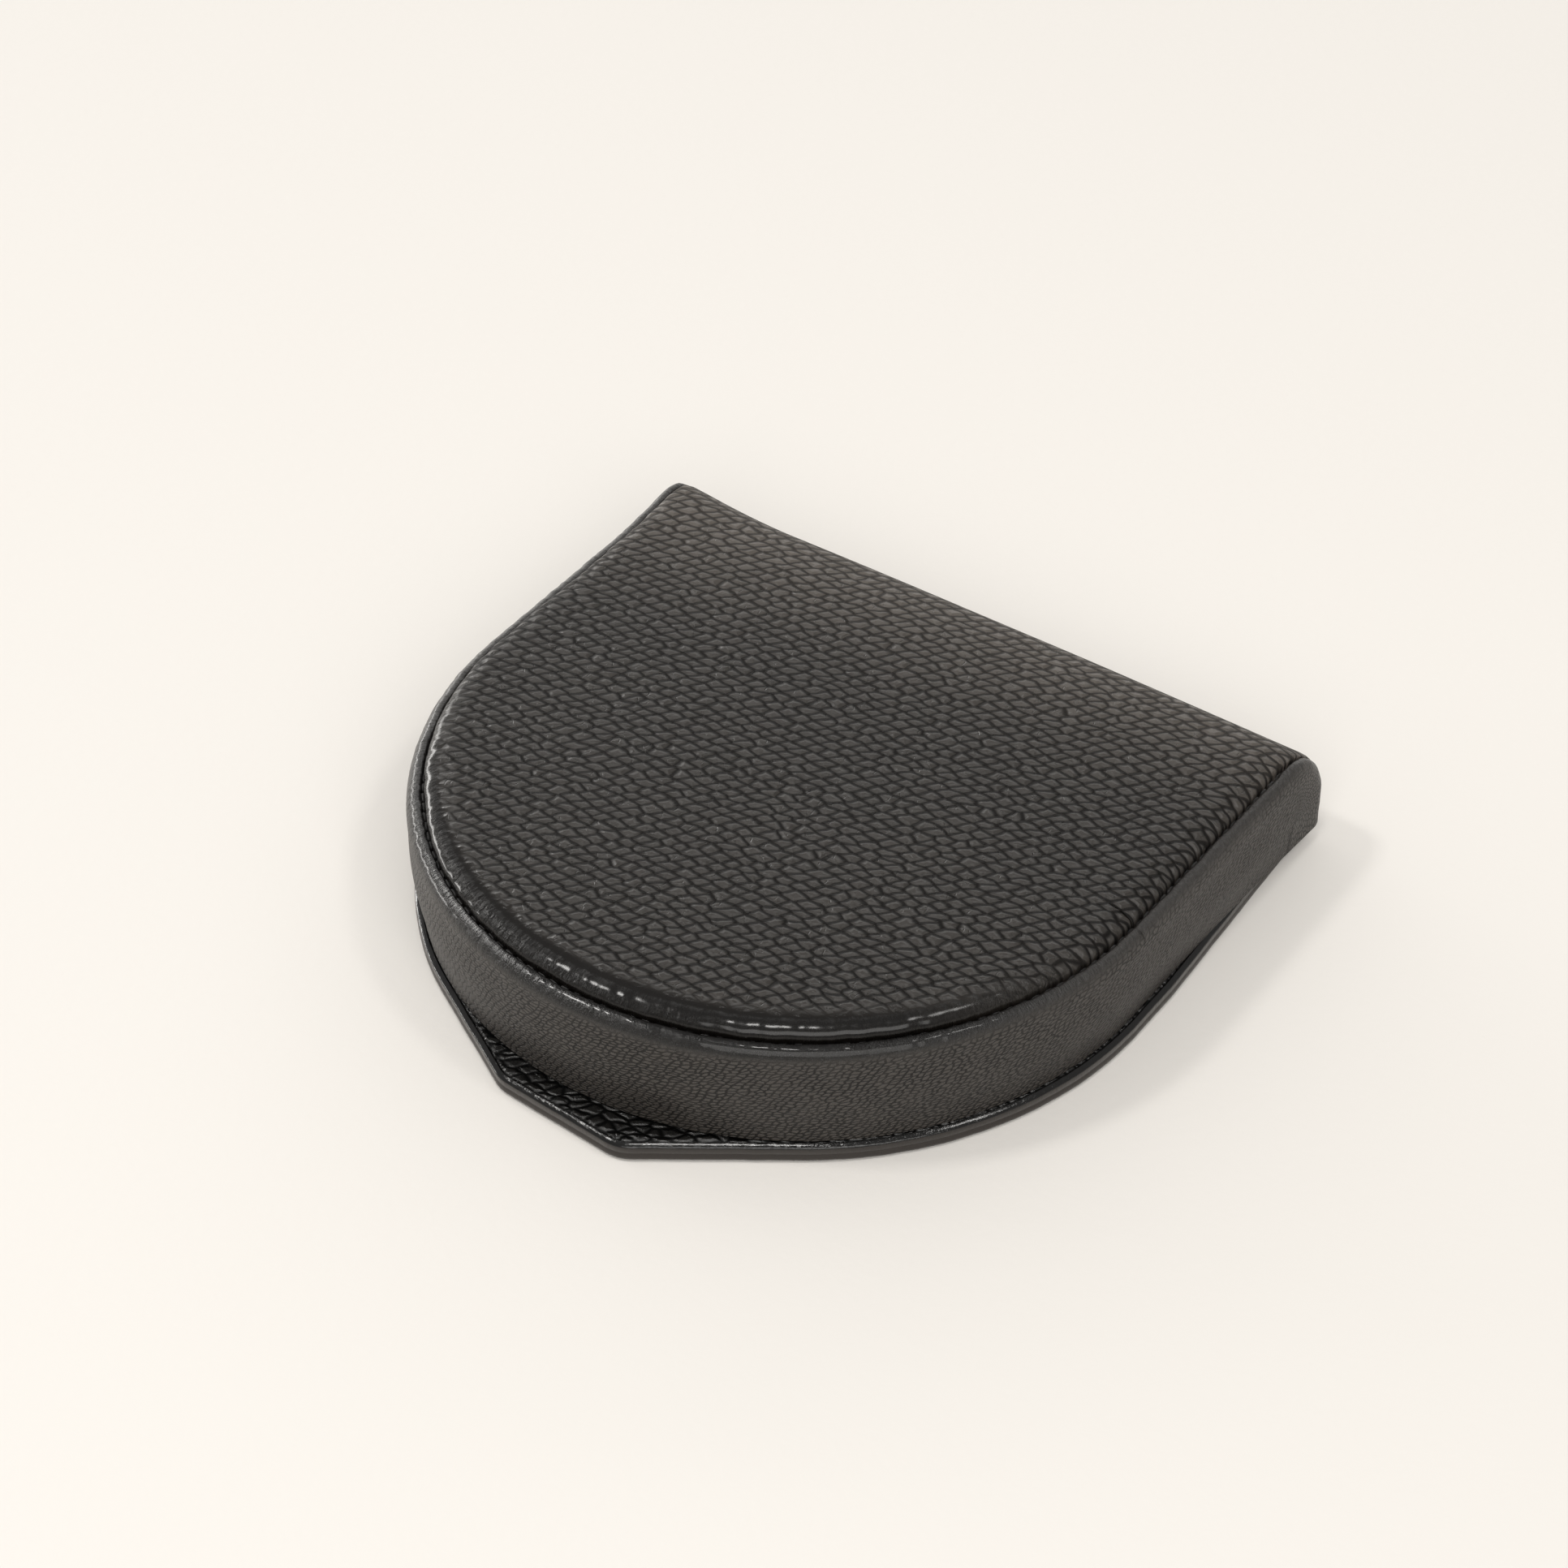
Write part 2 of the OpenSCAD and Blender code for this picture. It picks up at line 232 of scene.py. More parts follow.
def spaced(length, fine, coarse, reach):
    """Distances from 0 to length, fine for the first reach and then growing up to coarse."""
    d, step = [0.0], fine
    while d[-1] < length:
        if d[-1] > reach:
            step = min(step * 1.15, coarse)
        d.append(d[-1] + step)
    d = np.array(d)
    return d * (length / d[-1])


def line(start, end, spacing):
    """Points from start up to, but without, end."""
    start, end = np.array(start, float), np.array(end, float)
    n = max(1, int(np.hypot(*(end - start)) / spacing))
    return start + (end - start) * (np.arange(n) / n)[:, None]


def arc(centre, radius, first, last, spacing):
    """Points of an arc, its angles measured from the tab's direction towards +X, without its end."""
    n = max(3, int(abs(last - first) * max(abs(radius), 0.5) / spacing))
    a = first + (last - first) * np.arange(n) / n
    return np.array(centre) + radius * np.column_stack([np.sin(a), -np.cos(a)])


def round_the_rear(r, rear, corner, spacing, corner_spacing):
    """Parts of a horseshoe's outline, from the round end's right side round the rear to its left."""
    return [
        line((r, ARC_Y), (r, rear - corner), spacing),
        arc((r - corner, rear - corner), corner, QUARTER, 2 * QUARTER, corner_spacing),
        line((r - corner, rear), (corner - r, rear), spacing),
        arc((corner - r, rear - corner), corner, 2 * QUARTER, 3 * QUARTER, corner_spacing),
        line((-r, rear - corner), (-r, ARC_Y), spacing),
    ]


def horseshoe(r, rear, corner, spacing=0.5):
    """A closed horseshoe with rounded rear corners, drawn anticlockwise seen from above, with its
    outward normals and the distance along it."""
    front = arc((0, ARC_Y), r, -QUARTER, QUARTER, spacing)
    pts = np.vstack([front, *round_the_rear(r, rear, corner, spacing, spacing / 3)])
    ahead = np.roll(pts, -1, 0) - pts
    way = unit(unit(ahead) + unit(np.roll(ahead, 1, 0)))
    return pts, np.column_stack([way[:, 1], -way[:, 0]]), distance_along(pts)


def rings(surface, outline, profile, fill_last=False, flat_grain=True, place=None):
    """Rows of a profile of (inset, height) round a closed outline, and a face over the last."""
    pts, nor, run = outline
    rows, grain = [], []
    for (inset, z), far in zip(profile, distance_along(np.array(profile))):
        xy = pts - nor * inset
        row = at_height(xy, z)
        rows.append(row if place is None else place(row))
        grain.append(xy if flat_grain else at_height(run, far))
    surface.grid(np.stack(rows), np.stack(grain), closed=True)
    if fill_last:
        surface.fill(rows[-1], grain[-1])


def rounded(inset, z, radius, first=0.0, last=QUARTER, steps=6):
    """Profile points of a rounded edge about (inset, z), where 0 faces out and a quarter turn up."""
    return [(inset - radius * math.cos(q), z + radius * math.sin(q))
            for q in np.linspace(first, last, steps)]


def resampled(row, count):
    """The same closed ring with count points, matched by their share of its length."""
    closed = np.vstack([row, row[:1]])
    run = distance_along(closed)
    at = np.linspace(0, run[-1], count, endpoint=False)
    return np.column_stack([np.interp(at, run, closed[:, k]) for k in range(3)])


def stacked(outline_of, profile, count):
    """Rows of count points each, from a profile of (offset, height) and an outline for an offset."""
    return np.stack([resampled(at_height(outline_of(offset), z), count) for offset, z in profile])


# ---- materials


class Nodes:
    """A short way to write a material's node tree."""

    def __init__(self, name):
        self.material = bpy.data.materials.new(name)
        self.material.use_nodes = True
        self.tree = self.material.node_tree
        self.tree.nodes.clear()
        self.out = self.add("ShaderNodeOutputMaterial")
        self.bsdf = self.add("ShaderNodeBsdfPrincipled")
        self.link(self.bsdf.outputs["BSDF"], self.out.inputs["Surface"])

    def add(self, kind, inputs=(), **settings):
        """A node with its settings, and its inputs set to values or linked to outputs."""
        node = self.tree.nodes.new(kind)
        for key, value in settings.items():
            setattr(node, key, value)
        for key, value in dict(inputs).items():
            if value is not None:
                self.feed(node.inputs[key], value)
        return node

    def link(self, a, b):
        self.tree.links.new(a, b)

    def feed(self, socket, value):
        if isinstance(value, bpy.types.NodeSocket):
            self.link(value, socket)
        else:
            socket.default_value = (*value, 1) if socket.type == "RGBA" else value

    def attribute(self, name, output="Vector"):
        return self.add("ShaderNodeAttribute", attribute_name=name).outputs[output]

    def place(self):
        """Object coordinates in millimetres."""
        return self.vector("SCALE", self.add("ShaderNodeTexCoord").outputs["Object"], scale=1 / MM)

    def math(self, operation, a, b, clamp=False):
        node = self.add("ShaderNodeMath", {0: a, 1: b}, operation=operation, use_clamp=clamp)
        return node.outputs[0]

    def times(self, a, b):
        return self.math("MULTIPLY", a, b)

    def vector(self, operation, a, b=None, scale=None):
        node = self.add("ShaderNodeVectorMath", {0: a, 1: b, "Scale": scale}, operation=operation)
        return node.outputs["Value" if operation == "DOT_PRODUCT" else "Vector"]

    def noise(self, where, scale, detail=2.0, roughness=0.5, colour=False):
        inputs = {"Vector": where, "Scale": scale, "Detail": detail, "Roughness": roughness}
        return self.add("ShaderNodeTexNoise", inputs).outputs["Color" if colour else "Fac"]

    def voronoi(self, where, scale, feature="DISTANCE_TO_EDGE", randomness=1.0, dimensions="2D"):
        inputs = {"Vector": where, "Scale": scale, "Randomness": randomness}
        node = self.add("ShaderNodeTexVoronoi", inputs, voronoi_dimensions=dimensions, feature=feature)
        return node.outputs["Distance"]

    def ramp(self, value, low, high, to_low=0.0, to_high=1.0):
        inputs = enumerate((value, low, high, to_low, to_high))
        return self.add("ShaderNodeMapRange", inputs, interpolation_type="SMOOTHSTEP").outputs[0]

    def mix(self, factor, a, b):
        return self.add("ShaderNodeMix", {0: factor, 6: a, 7: b}, data_type="RGBA").outputs[2]

    def bump(self, height, distance, normal=None):
        inputs = {"Strength": 1.0, "Distance": distance * MM, "Height": height, "Normal": normal}
        return self.add("ShaderNodeBump", inputs).outputs[0]

    def finish(self, colour, roughness, normal, **others):
        """The material, with these and other inputs of its surface."""
        inputs = {"Base Color": colour, "Roughness": roughness, "Normal": normal}
        inputs.update({key.replace("_", " "): value for key, value in others.items()})
        for key, value in inputs.items():
            self.feed(self.bsdf.inputs[key], value)
        return self.material


def warped(n, where, amount, scale, seed):
    """Coordinates pushed about by slow noise, so that no row runs straight."""
    shifted = n.vector("ADD", where, (seed, seed * 1.7, seed * 0.6))
    drift = n.vector("SUBTRACT", n.noise(shifted, scale, 2.0, colour=True), (0.5, 0.5, 0.5))
    return n.vector("ADD", where, n.vector("SCALE", drift, scale=amount))


def lattice(n, where, first, second):
    """Coordinates in which the leather's grain is a unit square lattice, from its two steps."""
    area = first[0] * second[1] - first[1] * second[0]
    u = n.vector("DOT_PRODUCT", where, (second[1] / area, -second[0] / area, 0.0))
    v = n.vector("DOT_PRODUCT", where, (-first[1] / area, first[0] / area, 0.0))
    return n.add("ShaderNodeCombineXYZ", {"X": u, "Y": v}).outputs[0]


def pebble_leather(name, dark, light, roughness=0.47, relief=0.34, cell=1.0, gloss=0.17, seed=3.0,
                   disorder=0.42, spine_sheen_colour=None):
    """Pebbled leather in slanting rows, pulled smooth and glossy where the rim attribute is 1.
    The last argument is the paler colour painted towards the spine, a painted sheen that stands in for the
    grazing reflection there."""
    n = Nodes(name)
    grain = n.attribute("grain")
    seam = n.attribute("seam")
    rim = n.attribute("rim", "Fac")
    where = warped(n, grain, 1.3 * cell, 0.13 / cell, seed)
    where = warped(n, where, 0.75 * cell, 0.55 / cell, seed + 5)

    def pebbles(at):
        cells = lattice(n, at, (1.55 * cell, -0.12 * cell), (1.0 * cell, 1.27 * cell))
        return n.voronoi(cells, 1.0, randomness=disorder), cells

    edge, cells = pebbles(where)
    dome = n.ramp(edge, 0.0, 0.40)
    crease = n.ramp(n.voronoi(cells, 2.0, randomness=1.0), 0.0, 0.09)
    patch = n.ramp(n.noise(grain, 0.55 / cell, 1.0), 0.52, 0.66)
    split = n.times(n.math("SUBTRACT", 1.0, crease), n.times(patch, 0.5))
    height = n.math("SUBTRACT", dome, split, clamp=True)
    stretched = n.ramp(rim, 0.015, 0.55)
    flat = n.math("SUBTRACT", 1.0, n.times(stretched, 0.93))
    height = n.times(height, flat)
    swell = n.noise(grain, 0.32, 2.0)
    fine = n.noise(grain, 5.5, 4.0, 0.65)
    pores = n.ramp(n.voronoi(grain, 5.0, "F1"), 0.05, 0.35)
    gathers = n.noise(n.vector("MULTIPLY", seam, (1.0, 0.40, 1.0)), 2.1, 3.0, 0.65)
    beside = n.ramp(n.vector("DOT_PRODUCT", seam, (0.0, 1.0, 0.0)), 0.6, 1.7, 1.0, 0.04)
    normal = n.bump(swell, 0.10)
    normal = n.bump(n.times(gathers, n.times(stretched, beside)), 1.1, normal)
    normal = n.bump(height, relief, normal)
    skin = n.math("ADD", n.times(pores, 0.3), fine)
    normal = n.bump(n.times(skin, n.math("ADD", flat, 0.15)), 0.016, normal)

    # Painted shade: little light reaches down between the pebbles, and least behind the lit side of each, so
    # the colour and the specular level are painted darker there.
    shifted, _ = pebbles(n.vector("ADD", where, (-0.10 * cell, 0.12 * cell, 0.0)))
    hollow = n.times(n.ramp(shifted, 0.0, 0.27), n.ramp(edge, 0.0, 0.05, 0.4, 1.0))
    hollow = n.times(n.math("SUBTRACT", 1.0, hollow), flat)
    colour = n.mix(n.math("MAXIMUM", hollow, n.times(stretched, 0.95)), light, dark)
    shade = n.noise(grain, 0.09, 3.0)
    colour = n.mix(n.ramp(shade, 0.35, 0.7), n.mix(0.2, colour, dark), colour)
    # Painted sheen: the colour turns paler towards the spine in place of the grazing reflection there,
    # fading down the spine, on the smooth rim and in the hollows.
    if spine_sheen_colour:
        sheen_towards_spine = n.ramp(n.vector("DOT_PRODUCT", grain, (-0.0022, 0.0294, 0.0)), 0.15, 1.15)
        sheen_towards_spine = n.times(sheen_towards_spine, n.times(sheen_towards_spine, flat))
        below = n.ramp(n.vector("DOT_PRODUCT", grain, (0.0, 1.0, 0.0)), 38.0, 48.0, 1.0, 0.2)
        sheen_towards_spine = n.times(sheen_towards_spine, below)
        colour = n.mix(n.times(sheen_towards_spine, n.ramp(hollow, 0.0, 1.0, 1.0, 0.25)), colour, spine_sheen_colour)
    rough = n.ramp(dome, 0.0, 1.0, roughness + 0.12, roughness)
    rough = n.math("ADD", rough, n.times(n.math("SUBTRACT", fine, 0.5), 0.25))
    rough = n.math("ADD", rough, n.times(stretched, gloss - roughness), clamp=True)
    level = n.times(n.ramp(hollow, 0.0, 1.0, 0.5, 0.10), n.ramp(stretched, 0.0, 1.0, 1.0, 0.15))
    return n.finish(colour, rough, normal, Specular_IOR_Level=level,
                    Coat_Weight=n.times(stretched, 0.5), Coat_Roughness=0.15)


def band_leather():
    """Side leather: its grain is pulled into fine upright pores, and it shines at the shoulder."""
    n = Nodes("band_leather")
    grain = n.attribute("grain")
    rim = n.attribute("rim", "Fac")
    where = warped(n, grain, 0.9, 0.35, 11.0)
    bricks = n.voronoi(lattice(n, where, (0.85, 0.06), (0.30, 0.42)), 1.0, randomness=0.6)
    crease = n.ramp(bricks, 0.05, 0.26, 1.0, 0.0)
    patch = n.ramp(n.noise(grain, 0.35, 2.0), 0.36, 0.60, 0.8, 1.0)
    crease = n.times(crease, patch)
    wrinkle = n.noise(n.vector("MULTIPLY", where, (1.0, 0.30, 1.0)), 1.9, 3.0, 0.6)
    fine = n.noise(grain, 6.0, 4.0, 0.65)
    gathers = n.noise(n.vector("MULTIPLY", grain, (1.0, 0.6, 1.0)), 1.7, 4.0, 0.7)
    pitted = n.ramp(rim, 0.0, 0.4, 1.0, 0.1)
    crease = n.times(crease, pitted)
    normal = n.bump(n.noise(grain, 0.3, 2.0), 0.10)
    normal = n.bump(n.times(wrinkle, pitted), 0.06, normal)
    normal = n.bump(n.math("SUBTRACT", 1.0, crease), 0.07, normal)
    normal = n.bump(n.times(gathers, rim), 1.1, normal)
    normal = n.bump(n.times(fine, n.ramp(rim, 0.0, 0.6, 1.0, 0.3)), 0.016, normal)
    light = n.mix(n.ramp(rim, 0.0, 0.5), (0.037, 0.0317, 0.0272), (0.006, 0.0054, 0.005))
    # Painted shade: the creases are painted darker, and their specular level is lower.
    colour = n.mix(n.times(crease, 0.9), light, (0.003, 0.0026, 0.0023))
    rough = n.math("ADD", n.ramp(wrinkle, 0.3, 0.7, 0.52, 0.46),
                   n.times(n.math("SUBTRACT", fine, 0.5), 0.22))
    rough = n.math("SUBTRACT", rough, n.times(rim, 0.34), clamp=True)
    level = n.times(n.ramp(crease, 0.0, 1.0, 0.5, 0.25), n.ramp(rim, 0.0, 1.0, 1.0, 0.5))
    return n.finish(colour, rough, normal, Specular_IOR_Level=level,
                    Coat_Weight=n.times(rim, 0.45), Coat_Roughness=0.10)


def edge_lacquer():
    """Painted edge: glossy black over the leathers, browner and duller between them."""
    n = Nodes("edge_lacquer")
    grain = n.attribute("grain")
    across = n.attribute("rim", "Fac")     # here it tells how far over the edge a point is
    wave = n.noise(grain, 0.9, 3.0, 0.6)
    fine = n.noise(grain, 5.0, 3.0)
    at = n.math("ADD", across, n.times(n.math("SUBTRACT", wave, 0.5), 0.08))
    middle = n.times(n.ramp(at, 0.50, 0.58), n.ramp(at, 0.84, 0.74))
    colour = n.mix(n.times(middle, 0.8), (0.003, 0.0028, 0.0026), (0.026, 0.021, 0.018))
    normal = n.bump(wave, 0.07)
    normal = n.bump(fine, 0.010, normal)
    rough = n.ramp(fine, 0.3, 0.7, 0.11, 0.18)
    rough = n.math("ADD", rough, n.times(middle, 0.2))
    return n.finish(colour, rough, normal, Specular_IOR_Level=0.3, Coat_Weight=0.25, Coat_Roughness=0.05)


def lining_leather():
    """Thin matte lining with a very fine grain."""
    n = Nodes("lining")
    where = n.place()
    bumps = n.noise(where, 2.6, 4.0, 0.6)
    fine = n.noise(where, 9.0, 2.0)
    colour = n.mix(n.ramp(bumps, 0.35, 0.65), (0.022, 0.020, 0.019), (0.038, 0.035, 0.032))
    normal = n.bump(fine, 0.012, n.bump(bumps, 0.05))
    return n.finish(colour, n.ramp(bumps, 0.3, 0.7, 0.72, 0.58), normal, Sheen_Weight=0.12,
                    Sheen_Roughness=0.5)


def fibreboard():
    """Dark pressed board, with fibres that run across."""
    n = Nodes("fibreboard")
    where = n.place()
    fibres = n.noise(n.vector("MULTIPLY", where, (0.6, 2.4, 1.0)), 2.2, 5.0, 0.7)
    specks = n.noise(where, 7.0, 2.0)
    colour = n.mix(n.ramp(fibres, 0.3, 0.7), (0.020, 0.017, 0.015), (0.045, 0.039, 0.034))
    normal = n.bump(specks, 0.01, n.bump(fibres, 0.05))
    return n.finish(colour, n.ramp(specks, 0.3, 0.7, 0.9, 0.75), normal)


def foam():
    """Yellowish open foam."""
    n = Nodes("foam")
    where = n.place()
    pits = n.ramp(n.voronoi(where, 2.2, "F1", dimensions="3D"), 0.1, 0.5)
    colour = n.mix(pits, (0.38, 0.34, 0.27), (0.66, 0.62, 0.53))
    return n.finish(colour, n.ramp(pits, 0.0, 1.0, 0.95, 0.85), n.bump(pits, 0.12))


def thread():
    """Twisted black thread."""
    n = Nodes("thread")
    where = n.place()
    twist = n.noise(n.vector("MULTIPLY", where, (1.0, 1.0, 0.6)), 6.0, 3.0)
    colour = n.mix(twist, (0.008, 0.008, 0.008), (0.030, 0.029, 0.028))
    return n.finish(colour, n.ramp(twist, 0.3, 0.7, 0.6, 0.42), n.bump(twist, 0.05), Sheen_Weight=0.2)


cover_material = pebble_leather("grain_leather", dark=(0.0038, 0.0031, 0.0026),
                                light=(0.0208, 0.0172, 0.0139), spine_sheen_colour=(0.092, 0.079, 0.067))
tray_material = pebble_leather("tray_leather", dark=(0.0010, 0.0010, 0.0010),
                               light=(0.0060, 0.0056, 0.0052), roughness=0.24, relief=0.13,
                               cell=0.95, gloss=0.22, seed=21.0, disorder=0.8)
band_material = band_leather()
lacquer_material = edge_lacquer()
lining_material = lining_leather()
board_material = fibreboard()
foam_material = foam()
thread_material = thread()

# ---- lid cover: top and spine

SHEET_R = 38.20        # half the width of the top leather at its seam
EDGE_RISE = 1.45       # rise of the padded top's rolled lip
EDGE_ROLL = 2.9        # width of that lip
CROWN = 0.85           # further rise of the padding
CROWN_REACH = 30.0     # how far in from the seam it goes on rising
CROWN_FADE = 20.0      # how far before the rear edge it starts to fall again
PUCKER = 0.085         # height of the gathers beside the seam
GLOSS_REACH = 1.9      # how far in from the seam the leather is pulled smooth
SIDE_GLOSS = 0.04      # how far the straight sides share the front's smooth, glossy lip
SHEET_STEP = 0.28      # spacing of the mesh's rows


def sheet_base(x, t):
    """A place on the lid's cover, flattened out: x across, and t along it to the rear edge and
    then down the spine. Gives the point and the direction that its padding swells in."""
    start = REAR_Y - SPINE_ROUND
    turn = np.clip((t - start) / SPINE_ROUND, 0, QUARTER)
    past = np.maximum(t - start - SPINE_ROUND * QUARTER, 0)
    y = np.minimum(t, start) + SPINE_ROUND * np.sin(turn)
    w = -SPINE_ROUND * (1 - np.cos(turn)) - past
    out = np.stack([np.zeros_like(x), np.sin(turn), np.cos(turn)], -1)
    return np.stack([x, y, w], -1), out


def sheet_length():
    """Where the cover ends on the spine, at the top of the hinge leather."""
    w = (hinge_high[2] - SEAM_MID + REAR_Y * math.sin(TILT)) / math.cos(TILT)
    return REAR_Y - SPINE_ROUND + SPINE_ROUND * QUARTER - (w + SPINE_ROUND)


def crown_height(d, t):
    """Rise of the cover at distance d in from its seam. The lip dies away towards the spine."""
    lip = EDGE_RISE * np.sqrt(1 - (1 - share(d, 0, EDGE_ROLL)) ** 2)
    pillow = CROWN * (1 - (1 - share(d, 0, CROWN_REACH)) ** 2)
    fade = 1 - (1 - share(REAR_Y + 1 - t, 0, CROWN_FADE)) ** 2
    spine = share(t, REAR_Y - 12, REAR_Y - 3)
    return lip * (1 - 0.9 * spine ** 2) + pillow * fade


def puckers(s, d, seed):
    """Little gathers across the seam, strongest beside it."""
    short = smooth_noise(s, 0.42, seed) * 0.6 + smooth_noise(s, 0.9, seed + 1)
    strength = 0.55 + 0.45 * smooth_noise(s, 9.0, seed + 2)
    return short * strength * np.exp(-((d / 1.3) ** 2))


def seam_wobble(s, seed):
    """How the seam wanders from its line."""
    return 0.05 * smooth_noise(s, 1.4, seed) + 0.06 * smooth_noise(s, 7.0, seed + 1)


def cover_points(x, t, d, s, outward, inset, drop):
    """Points of the cover. outward is the seam's direction, and inset and drop lead into the seam."""
    base, out = sheet_base(x, t)
    rise = crown_height(d, t) + PUCKER * puckers(s, d, 31) - drop
    lumps = 0.05 * np.exp(-((d / 2.0) ** 2)) * smooth_noise(s, 1.5, 37)
    base = base + out * (rise + lumps)[..., None]
    shift = (seam_wobble(s, 41) * np.exp(-d / 1.5) - inset)[..., None]
    return base + outward * shift


def lid_cover():
    """Top leather: a padded horseshoe that turns down over the spine, drawn in two grids."""
    surface = Surface()
    d = spaced(SHEET_R, 0.12, 1.3, 3.0)
    inset = np.concatenate([[-1.0, 0.0, 0.03, 0.0], np.zeros(len(d))])
    drop = np.concatenate([[0.80, 0.78, 0.45, 0.2], np.zeros(len(d))])
    d = np.concatenate([np.zeros(4), d])
    radius = SHEET_R - d
    glossy = np.exp(-((np.maximum(d - 0.4, 0) / GLOSS_REACH) ** 2))

    def sheet(x, t, s, out, gloss, flip):
        """One grid of the cover. s is the distance along its seam, and out the seam's direction."""
        depth = np.broadcast_to(d, t.shape)
        points = cover_points(x, t, depth, s, out, inset[None], drop[None])
        surface.grid(lid_to_world(points), np.stack([x, t], -1), glossy[None] * gloss, flip=flip,
                     seam=np.stack([s, depth], -1))

    angle = np.linspace(-QUARTER, QUARTER, int(math.pi * SHEET_R / SHEET_STEP))
    a, r = np.meshgrid(angle, radius, indexing="ij")
    front_gloss = SIDE_GLOSS + (1 - SIDE_GLOSS) * np.clip(np.cos(a), 0, 1) ** 1.6
    sheet(r * np.sin(a), ARC_Y - r * np.cos(a), a * SHEET_R,
          np.stack([np.sin(a), -np.cos(a), np.zeros_like(a)], -1), front_gloss, False)

    rows = np.linspace(ARC_Y, sheet_length(), int((sheet_length() - ARC_Y) / SHEET_STEP))
    t, r = np.meshgrid(rows, radius, indexing="ij")
    for side in (-1, 1):
        sheet(side * r, t, side * (SHEET_R * QUARTER + t - ARC_Y), np.array([side, 0, 0]),
              SIDE_GLOSS, side < 0)
    cover = surface.piece("lid_cover", cover_material, "grain_leather", "lid")
    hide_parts("top_leather", "spine_leather")


# ---- side band

CREST_R = 38.68        # crest of the band's bead beside the seam
CREST_DROP = 0.10      # its depth below the seam plane
CREST_FALL = 1.1       # how fast the bead's gloss and its gathers die away below it
GROOVE_HALF = 0.40     # half the width of the groove that holds the seam
GROOVE_DEPTH = 0.8
RIPPLE = 0.065         # height of the gathers on the bead
BULGE = 0.35           # how far the side swells
UPRIGHT_REACH = 30     # how far before the spine the side starts to stand up
SIDE_FRACTIONS = np.linspace(0, 1, 30)     # where rows cross the side, from its shoulder to its rim
WALL_STEP = 0.3        # spacing of the mesh's columns
HEM_T = 2.2            # width of the rim that is turned under the side
HEM_GLOSS = 0.25


def shoulder_profile():
    """(inset from the side, depth below the seam plane) from inside the seam over the shoulder."""
    crest_in, shoulder_drop = HALF_W - CREST_R, 2.0
    inner = [(crest_in + GROOVE_HALF * math.cos(q), CREST_DROP + GROOVE_DEPTH * (1 - math.sin(q)))
             for q in np.linspace(0, QUARTER, 9)]
    outer = [(crest_in * (1 - math.sin(q)), CREST_DROP + shoulder_drop * (1 - math.cos(q)))
             for q in np.linspace(0, QUARTER, 15)[1:]]
    start = [(inner[0][0] + 0.02, inner[0][1] + 0.6)]
    end = [(0.0, depth) for depth in np.linspace(outer[-1][1], SPINE_ROUND, 14)[1:]]
    return np.array(start + inner + outer + end)


def lean(w, y):
    """The side leans in below its shoulder, but stands upright at the spine."""
    upright = share(y, REAR_Y - UPRIGHT_REACH, REAR_Y)
    return SIDE_LEAN * (1 - upright ** 2) * np.minimum(w + SHOULDER, 0)


def bulge(w, y):
    """The side swells a little below its shoulder."""
    q = share(w, rim_w(y), -SHOULDER)
    return BULGE * share(REAR_Y - y, 0, 12) * np.sin(math.pi * q) ** 2


def band_ripple(s, depth):
    """Small gathers on the band beside the seam, as offsets outward."""
    short = smooth_noise(s, 0.6, 51) + 0.7 * smooth_noise(s, 1.3, 52)
    fall = np.exp(-((depth / CREST_FALL) ** 2))
    return RIPPLE * short[:, None] * fall[None]


def band_gloss(s):
    """How smooth and glossy the band's bead is: most at the front."""
    return 0.3 + 0.7 * np.clip(np.cos(s / HALF_W), 0, 1) ** 2


def side_path():
    """The path along the band's edge on one side, from under the spine to the round end. Each
    point has its y, its w or the share of the side's height that it lies down the spine, and the
    way into the band."""
    corner_y = REAR_Y - SPINE_ROUND
    path = [(REAR_Y, None, f, (-1.0, 0.0)) for f in SIDE_FRACTIONS[::-1][:-1]]
    for q in np.linspace(QUARTER, 0, 18)[:-1]:
        path.append((corner_y + SPINE_ROUND * math.sin(q), SPINE_ROUND * (math.cos(q) - 1), None,
                     (-math.sin(q), -math.cos(q))))
    for y in np.linspace(corner_y, ARC_Y, int((corner_y - ARC_Y) / WALL_STEP)):
        path.append((y, 0.0, None, (0.0, -1.0)))
    return path


def down_side(y, f):
    """Height in the lid's frame of a share f of the way from the spine's round down to the rim."""
    return -SPINE_ROUND + (rim_w(y) + SPINE_ROUND) * f


def hem(surface, bottom, grain, outward, flip):
    """The rim, turned under the side's bottom row and up inside the lid."""
    profile = rounded(0.7, RIM_Z + 0.7, 0.7, 0, -QUARTER, 7)
    profile += rounded(HEM_T - 0.6, RIM_Z + 0.6, 0.6, -QUARTER, -2 * QUARTER, 7)
    profile.append((HEM_T, RIM_Z + 2.6))
    rows = [at_height(bottom[:, :2] - outward * inset, z) for inset, z in profile]
    coords = [np.column_stack([grain[:, 0], grain[:, 1] - far])
              for far in distance_along(np.array(profile))]
    surface.grid(np.stack(rows, 1), np.stack(coords, 1), HEM_GLOSS, flip=flip)


def wall(surface, x_of, y_of, s, flip):
    """The side below the shoulder. x_of and y_of give a column's place from its reach outward.
    Returns its bottom row."""
    columns = []
    for f in SIDE_FRACTIONS:
        y = y_of(0.0)
        w = down_side(y, f)
        reach = HALF_W + lean(w, y) + bulge(w, y) + band_ripple(s, -w)[:, 0] * (1 - f)
        columns.append(np.stack([x_of(reach), y_of(reach - HALF_W), w], -1))
    columns = np.stack(columns, 1)
    points = lid_to_world(columns)
    grain = np.stack([np.broadcast_to(s[:, None], points.shape[:2]), columns[..., 2]], -1)
    surface.grid(points, grain, flip=flip)
    return points[:, -1], grain[:, -1]


